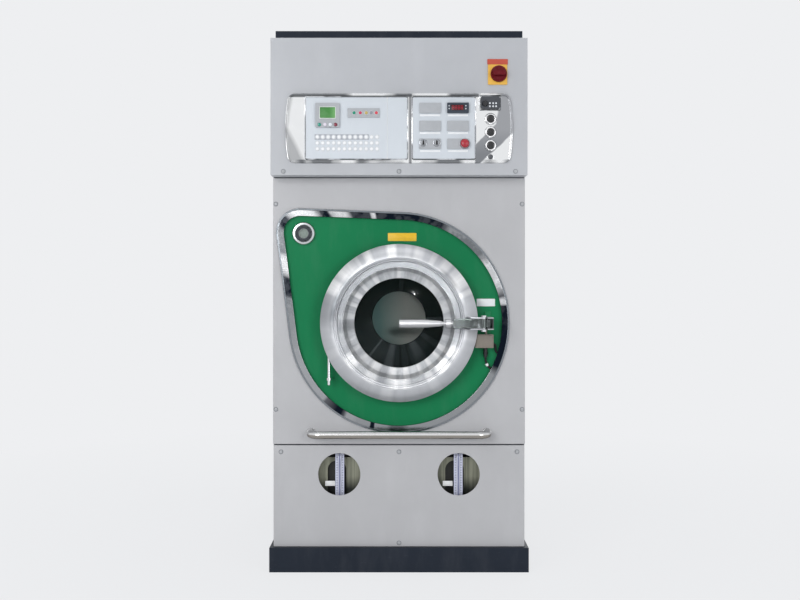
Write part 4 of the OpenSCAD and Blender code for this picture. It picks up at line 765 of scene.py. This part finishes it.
# ---- stage
class MACHINE_OT_stage(MachineOperator, bpy.types.Operator):
    """Add the camera, the pale floor, the background and the studio lights"""
    bl_idname = "machine.stage"
    bl_label = "Stage and camera"

    # name, kind, place, target, power and the light's own settings
    LAMPS = (
        ("key", "AREA", (-2.6, -5.8, 2.3), (0.0, -0.6, 1.0), 119.0, {"size": 2.6, "size_y": 2.4}),
        ("fill", "AREA", (3.0, -5.4, 1.5), (0.0, -0.6, 1.0), 55.0, {"size": 1.8, "size_y": 2.6}),
        # Through the door's pane, for the drum behind it
        ("beam", "SPOT", (0.32, -6.2, 1.32), (0.0, -0.45, AXIS), 385.0,
         {"spot_size": 0.058, "spot_blend": 0.5, "shadow_soft_size": 0.16}),
        ("top", "AREA", (0.0, -0.4, 4.6), (0.0, -0.2, 0.0), 40.0, {"size": 3.0, "size_y": 3.0}),
        ("back", "AREA", (0.6, 4.2, 2.8), (0.0, 0.4, 1.0), 60.0, {"size": 2.4, "size_y": 2.0}),
    )

    def execute(self, context):
        scene = context.scene
        camera = placed("camera", bpy.data.cameras.new("camera"))
        camera.location = (0.0, -4.43, 1.008)
        camera.rotation_euler = (pi / 2, 0.0, 0.0)
        camera.data.sensor_width = 36.0
        camera.data.lens = 46.25
        camera.data.shift_x = 0.00125
        camera.data.shift_y = -0.01125
        scene.camera = camera
        self.floor()
        self.world(scene)
        for lamp in self.LAMPS:
            self.lamp(*lamp)
        return {"FINISHED"}

    def floor(self):
        """A wide pale floor that shows the background's colour and keeps the machine's shadow."""
        bm = bmesh.new()
        bmesh.ops.create_grid(bm, x_segments=1, y_segments=1, size=30.0)
        bmesh.ops.translate(bm, vec=(0, 0, -0.0005), verts=bm.verts)
        mesh = mesh_of("floor", bm)
        placed("floor", mesh)
        shade = Shade("pale_floor", gloss=0.0, roughness=0.8)
        shade.feed(base_color=shade.mix(shade.noise(2.0) * 0.2, "e9ebed", "e2e4e7"))
        pale = shade.node("Emission", values={"Color": BACKDROP, "Strength": 1.0})
        x, y = shade.axes("xy")
        far = span(x, y).rise(1.2, 3.2, 0.88, 1.0)
        shade.output(shade.node("MixShader", values={
            0: shade.seen() * far, 1: Wire(shade, shade.surface.outputs[0]), 2: pale}))
        mesh.materials.append(shade.material)

    def world(self, scene):
        """A surround that lights the machine softly, and shows as the plain backdrop."""
        scene.world = bpy.data.worlds.new("studio")
        scene.world.use_nodes = True
        sky = Shade("sky", tree=scene.world.node_tree)
        lit, pale = [sky.node("Background", values={"Color": colour, "Strength": strength})
                     for colour, strength in (("eef0f4", 0.55), (BACKDROP, 1.0))]
        sky.output(sky.node("MixShader", values={0: sky.seen(), 1: lit, 2: pale}))

    def lamp(self, name, kind, place, target, power, settings):
        """A light at a place, aimed at a target."""
        data = bpy.data.lights.new(name, kind)
        data.energy = power
        if kind == "AREA":
            data.shape = "RECTANGLE"
        for key, value in settings.items():
            setattr(data, key, value)
        lamp = placed(name, data)
        lamp.location = place
        lamp.rotation_euler = (Vector(target) - Vector(place)).to_track_quat("-Z", "Y").to_euler()


# ---- the CAD pieces
class MACHINE_OT_cabinet(MachineOperator, bpy.types.Operator):
    """Finish the cabinet's panels, tray, cover and frame, with rounded sheet edges"""
    bl_idname = "machine.cabinet"
    bl_label = "Cabinet"

    def execute(self, context):
        colours = context.scene.machine_colours
        panel = enamel("panel_enamel", colours.panel)
        tray = enamel("tray_enamel", colours.tray, 0.45, 0.0, wear=0.08, gloss=0.1)
        port = enamel("port_enamel", colours.port, 0.3, 0.04, gloss=0.1)
        edged("middle_front_panel", panel, 1.2)
        edged("lower_front_panel", panel, 1.2)
        edged("control_housing", enamel("housing_enamel", colours.housing), 1.8)
        edged("base_tray", tray, 2.0)
        edged("top_cover", tray, 1.8)
        edged("port_plate", port, 0.8)
        paint(panel, "left_side_panel", "right_side_panel", "rear_panel")
        paint(enamel("frame_enamel", "4a4f57", 0.45), "frame")
        return {"FINISHED"}


class MACHINE_OT_inside(MachineOperator, bpy.types.Operator):
    """Finish the tub, cage, drive, tanks and the other inner pieces"""
    bl_idname = "machine.inside"
    bl_label = "Inside"

    def execute(self, context):
        paint(perforated(), "cage_drum")
        paint(brushed("inner_steel", "b4b7ba", 0.34, (30.0, 600.0, 30.0)), "outer_tub", "drying_unit")
        paint(brushed("still_steel", "9da0a4", 0.36), "still")
        paint(brushed("bearing_steel", "c9ccd1", 0.2), "shaft_bearings")
        paint(enamel("filter_enamel", "a8abaf", 0.4, 0.15), "solvent_filter")
        paint(enamel("motor_enamel", "3f5f7a", 0.4, 0.2), "drum_motor", "solvent_pump")
        paint(cast("cast_grey", "6f7378"), "bearing_housing", "drum_pulley", "motor_pulley")
        paint(tank_paint(), "solvent_tanks")
        paint(level_scale(), "level_gauges")
        paint(belt_web(), "drive_belts")
        return {"FINISHED"}


class MACHINE_OT_door(MachineOperator, bpy.types.Operator):
    """Finish the loading port, the door and its handle"""
    bl_idname = "machine.door"
    bl_label = "Loading door"

    def execute(self, context):
        # Both finishes carry painted highlights, painted reflections and painted shade at the listed angles
        ring = turned("door_ring_polish", "c9cbcf", "abadb1", 0.36, RING_LIGHT, 0.25, RING_DARK, CREST_R,
                      RIM_LIGHT, crest=CREST_DARK, band=0.7)
        funnel = turned("door_funnel_polish", "b7b9bc", "8a8e93", 0.3, RIM_LIGHT, 0.4, FUNNEL_DARK, FUNNEL_R,
                        FUNNEL_LIGHT, "e6e8ea", band=0.7, satin=0.45)
        arm = chrome("latch_chrome", "b4b8ba", 0.2, "2c3532", 20.0, 0.36)
        edged("door_ring", ring, 0.8, "door", angle=35)
        edged("door_frame", funnel, 0.5, "door", angle=35)
        edged("port_trim", trim_chrome(), 1.8, segments=3, angle=25)
        edged("latch_arm", arm, 1.2, "handle")
        edged("interlock_switch", switch_box(), 1.0)
        paint(chrome("pin_chrome", share=0.6), "hinge_pin", "latch_pin")
        paint(chrome("bracket_chrome", "d7d9db", 0.2, "74777a", 12.0, 0.6), "hinge_brackets")
        paint(turned("port_ring_polish", "a9abae"), "loading_ring")
        paint(clear_glass(), "door_glass")
        paint(rubber("black_rubber", "17181a"), "door_gasket")
        paint(rail_metal(), "grab_rail")
        paint(keeper_steel(), "keeper_bracket")
        paint(grip_metal(), "handle_grip")
        paint(rubber("lead_sheath", "141517"), "interlock_lead")
        paint(sight_metal(), "sight_glass")
        return {"FINISHED"}


class MACHINE_OT_controls(MachineOperator, bpy.types.Operator):
    """Finish the bezel, plates, modules, knobs and buttons of the control panel"""
    bl_idname = "machine.controls"
    bl_label = "Control panel"

    def execute(self, context):
        grey = module_plastic()
        white = enamel("white_plate", context.scene.machine_colours.plate, 0.3, 0.3)
        edged("control_bezel", bezel_chrome(), 1.6)
        edged("control_plates", white, 0.8)
        edged("display_unit", grey, 0.7)
        edged("control_modules", grey, 0.6)
        edged("timer_box", timer_plastic(), 1.0)
        paint(key_faces(), "key_matrix")
        paint(warning_plate(), "switch_plate")
        paint(plastic("handle_red", "640d18", 0.35, 1200.0, 0.00005, 0.03, 0.15), "switch_handle")
        paint(plastic("red_knob", "a50f25", 0.3, 1500.0, 0.00003, 0.25), "stop_button")
        paint(plastic("black_knob", "15161a", 0.25, 1500.0, 0.00003, 0.25),
              "timer_knob", "push_button_top", "push_button_middle", "push_button_low")
        paint(selector_finish(), "selector_left", "selector_right")
        paint(chrome("lock_chrome", "cfd2d6", 0.16), "lock_barrel")
        for index, colour in enumerate(("2a8f7c", "ddd6e2", "e3e7ee", "7c2238"), 1):
            paint(plastic("display_key_paint_%d" % index, colour, 0.25, 1500.0, 0.00003, 0.3),
                  "display_key_%d" % index)
        return {"FINISHED"}


# ---- small parts
class MACHINE_OT_frames(MachineOperator, bpy.types.Operator):
    """Add the plated frames round the plates and the timer, the knobs' collars and four small keys"""
    bl_idname = "machine.frames"
    bl_label = "Plated frames"

    def execute(self, context):
        frames = [(frame_shape(right - left + 1, 217, 4.2, 5.0, 9.0), on_bezel((left + right) / 2, 124, 4.0))
                  for left, right in ((-328, 28), (49, 267))]
        frames.append((frame_shape(71, 46.5, 3.4, 3.0, 5.0), on_bezel(321, 212, 4.0)))
        plating = chrome("frame_chrome", "d3d5d8", 0.12, "4d5156", 14.0, 0.47)
        piece("plate_frames", joined(frames), plating, smooth=50)
        selector = [(11.2, 0), (11.2, 1.6), (11.8, 2.2), (13.6, 2.0), (14.4, 1.2), (14.6, 0)]
        stop = [(16.2, 0), (16.2, 1.2), (17.4, 1.8), (18.6, 1.2), (18.8, 0)]
        collars = [(turned_shape(selector), on_bezel(x, 71, 12.0)) for x in (85.5, 132.6)]
        collars.append((turned_shape(stop, 40), on_bezel(231, 68, 12.0)))
        piece("knob_collars", joined(collars), chrome("collar_chrome", "b3b6ba", 0.25, share=0.6))
        dome = [(2.4, 0), (2.4, 0.6), (1.9, 1.0), (0, 1.1)]
        keys = [(turned_shape(dome, 16), on_bezel(x, up, 16.0))
                for x in (176.2, 234.8) for up in (190.5, 200.5)]
        piece("controller_keys", joined(keys), plastic("controller_key_grey", "c9cdd2", 0.35))
        return {"FINISHED"}


class MACHINE_OT_lamps(MachineOperator, bpy.types.Operator):
    """Add the five coloured lenses with their rims on the lamp strip"""
    bl_idname = "machine.lamps"
    bl_label = "Lamp lenses"

    LENSES = ((-158, "1f8a6d"), (-136, "c2375a"), (-115, "b9a45c"), (-98, "8b8f96"), (-79.5, "d0414f"))
    LENS = [(0, 3.6), (2.2, 3.4), (4.2, 2.8), (5.4, 1.9), (5.8, 0.6), (5.8, 0.0)]
    RIM = [(5.7, 1.2), (6.4, 2.0), (7.4, 1.8), (7.9, 0.9), (7.9, 0.0)]

    def execute(self, context):
        rims = []
        for index, (x, colour) in enumerate(self.LENSES, 1):
            name, place = "lamp_lens_%d" % index, on_bezel(x, 176.5, 11)
            shade = Shade(name, coat_weight=0.15, coat_roughness=0.25, gloss=0.3)
            glow = shade.noise(500.0, 2.0)
            colour = shade.mix(glow * 0.4, colour, tone(colour, 1.5))
            piece(name, turned_shape(self.LENS), shade.finish(colour, 0.4, glow, 0.0002),
                  place)
            rims.append((turned_shape(self.RIM), place))
        piece("lamp_rims", joined(rims), plastic("lamp_rim", "c5c8cc", 0.3))
        return {"FINISHED"}


class MACHINE_OT_display(MachineOperator, bpy.types.Operator):
    """Add the green display's window, its frame, and the small red display"""
    bl_idname = "machine.display"
    bl_label = "Displays"

    def execute(self, context):
        pale = plastic("display_frame_pale", "dfe8df", 0.35)
        piece("display_window", plate_shape(55, 39, 1.2, 0.8, 0.3), self.green(),
              on_bezel(-251, 176.8, 12.05))
        piece("display_frame", frame_shape(54, 38, 2.2, 1.2, 1.6), pale,
              on_bezel(-251, 176.8, 14.6))
        piece("controller_display", plate_shape(46, 19, 0.8, 0.8, 0.2), self.red(),
              on_bezel(DIGITS[0] / MM, DIGITS[1] / MM, 14.05))
        return {"FINISHED"}

    def green(self):
        """Green glass with rows of faint blocks."""
        shade = Shade("display_green", coat_weight=0.08, coat_roughness=0.3, gloss=0.2)
        x, z = shade.axes("xz")
        up = z - BEZEL_Z
        blocks = (up / 0.0047 % 1.0).band(0.2, 0.75, 0.05) * (x / 0.0023 % 1.0).band(0.1, 0.85, 0.08)
        field = up.band(0.160, 0.194) * x.band(-0.275, -0.232)
        worn = shade.noise(160.0, 2.0).rise(0.42, 0.5)
        colour = shade.mix(x.rise(-0.245, -0.226), "4a8a46", "79b171")
        colour = shade.mix(blocks * field * worn * 0.3, colour, "2f6233")
        return shade.finish(colour, 0.4, blocks, 0.00003, 0.3)

    def red(self):
        """Dark glass with dim red bars."""
        shade = Shade("display_dark", coat_weight=0.1, coat_roughness=0.2, gloss=0.3,
                      emission_strength=0.25)
        x, z = shade.axes("xz")
        across, height = x - DIGITS[0], abs(z - (BEZEL_Z + DIGITS[1]))
        digit = abs(across / 0.0100 % 1.0 - 0.5)
        bars = height.band(-0.001, 0.0011, 0.0002) + abs(height - 0.0056).band(-0.001, 0.0010, 0.0002)
        posts = digit.band(0.24, 0.34, 0.02) * (height < 0.0060)
        lit = (bars * (digit < 0.28) + posts).least(1.0) * (abs(across) < 0.0198)
        return shade.finish(shade.mix(lit, "3a0a10", "9a1a2c"), 0.3, shade.noise(700.0), 0.00003, 0.3,
                            emission_color=shade.mix(lit, "26050a", "8a1a28"))


class MACHINE_OT_labels(MachineOperator, bpy.types.Operator):
    """Add the blank stickers and label strips, and the marker sleeve on a lead"""
    bl_idname = "machine.labels"
    bl_label = "Blank labels"

    def execute(self, context):
        thick = context.scene.machine_sizes.sticker / MM
        paper = plastic("label_white", "eef0f2", 0.45, 1200.0, 0.00003)
        strips = [(plate_shape(width, 6.5, thick, 1.0, 0.1), on_bezel(x, up, 7.0))
                  for up in (168.5, 106.2, 42.8) for x, width in ((109.5, 72), (207.5, 70))]
        piece("module_labels", joined(strips), paper)
        piece("yellow_sticker", plate_shape(103, 29, thick, 2.0, 0.15),
              plastic("sticker_yellow", "efc018", 0.4, 900.0, 0.00003),
              at_front(11.5, 1202.5, -6.0))
        piece("white_sticker", plate_shape(66, 27, thick, 2.0, 0.15), paper,
              at_front(313, 966.5, -6.0))
        tanks = [(plate_shape(36, 18, thick, 1.5, 0.1), at_front(side * WINDOW_X / MM - 37, 304, -62.0))
                 for side in (-1, 1)]
        piece("tank_labels", joined(tanks), self.bright())
        sleeve = [(4.7, -5), (5.3, -4.6), (5.3, 4.6), (4.7, 5), (4.7, -5)]
        along = Vector((22.9, 13.8, -41.7)).to_track_quat("Z", "Y").to_matrix().to_4x4()
        piece("lead_marker", turned_shape(sleeve, 24), paper,
              Matrix.Translation((0.3161, FRONT - 0.0034, 0.7438)) @ along)
        return {"FINISHED"}

    def bright(self):
        """Paper with a painted glow, from emission, that keeps it light in the shade behind a window."""
        # Painted light: the paper glows faintly
        shade = Shade("label_bright", gloss=0.3, emission_strength=0.28, emission_color="f4f5f7")
        fibres = shade.noise(900.0, 3.0)
        return shade.finish(shade.mix(fibres * 0.06, "f8f9fa", "c9ccd0"), 0.5, fibres, 0.00003, 0.3)


class MACHINE_OT_screws(MachineOperator, bpy.types.Operator):
    """Add the cross-head screws of the panels with their cup washers"""
    bl_idname = "machine.screws"
    bl_label = "Panel screws"

    def execute(self, context):
        radius = context.scene.machine_sizes.screw / MM
        cup = [(radius * 1.4, 0), (radius * 1.32, 0.7), (radius * 1.15, 1.0), (radius * 1.02, 0.5)]
        heads = [(self.head(radius), at_front(*spot)) for spot in SCREWS]
        washers = [(turned_shape(cup, 24), at_front(*spot)) for spot in SCREWS]
        piece("panel_screws", joined(heads), plastic("screw_zinc", "b3b5b8", 0.4, 900.0), smooth=35)
        piece("panel_washers", joined(washers), plastic("washer_zinc", "84878b", 0.45, 900.0),
              smooth=35)
        return {"FINISHED"}

    def head(self, radius):
        """A low dome with a raised cross."""
        cross = bmesh.new()
        for angle in (0.4, 0.4 + pi / 2):
            bar = bmesh.ops.create_cube(cross, size=1.0)["verts"]
            bmesh.ops.scale(cross, vec=(radius * 1.1 * MM, radius * 0.2 * MM, radius * 0.06 * MM), verts=bar)
            bmesh.ops.rotate(cross, cent=(0, 0, 0), matrix=Matrix.Rotation(angle, 3, "Z"), verts=bar)
        dome = turned_shape([(radius, 0.3), (radius, radius * 0.16), (radius * 0.86, radius * 0.36),
                             (radius * 0.5, radius * 0.46), (0, radius * 0.5)], 24)
        return joined([(cross, Matrix.Translation((0, 0, radius * 0.5 * MM))), (dome, Matrix())])


# ---- add-on
class MACHINE_PT_panel(bpy.types.Panel):
    """Sidebar panel with the machine's settings and steps"""
    bl_label = "Dry cleaning machine"
    bl_idname = "MACHINE_PT_panel"
    bl_space_type = "VIEW_3D"
    bl_region_type = "UI"
    bl_category = "Machine"

    def draw(self, context):
        for group in (context.scene.machine_colours, context.scene.machine_sizes):
            for key in group.__annotations__:
                self.layout.prop(group, key)
        for step in STEPS:
            self.layout.operator(step.bl_idname)


STEPS = (MACHINE_OT_stage, MACHINE_OT_cabinet, MACHINE_OT_inside, MACHINE_OT_door, MACHINE_OT_controls,
         MACHINE_OT_frames, MACHINE_OT_lamps, MACHINE_OT_display, MACHINE_OT_labels, MACHINE_OT_screws)
CLASSES = (MachineColours, MachineSizes) + STEPS + (MACHINE_PT_panel,)


def register():
    for item in CLASSES:
        bpy.utils.register_class(item)
    bpy.types.Scene.machine_colours = PointerProperty(type=MachineColours)
    bpy.types.Scene.machine_sizes = PointerProperty(type=MachineSizes)


def unregister():
    del bpy.types.Scene.machine_sizes
    del bpy.types.Scene.machine_colours
    for item in reversed(CLASSES):
        bpy.utils.unregister_class(item)


def main():
    register()
    bpy.context.scene.view_settings.view_transform = "Standard"
    for step in STEPS:
        group, name = step.bl_idname.split(".")
        if getattr(getattr(bpy.ops, group), name)() != {"FINISHED"}:
            raise RuntimeError(step.bl_label + " was not finished")


if __name__ == "__main__":
    main()
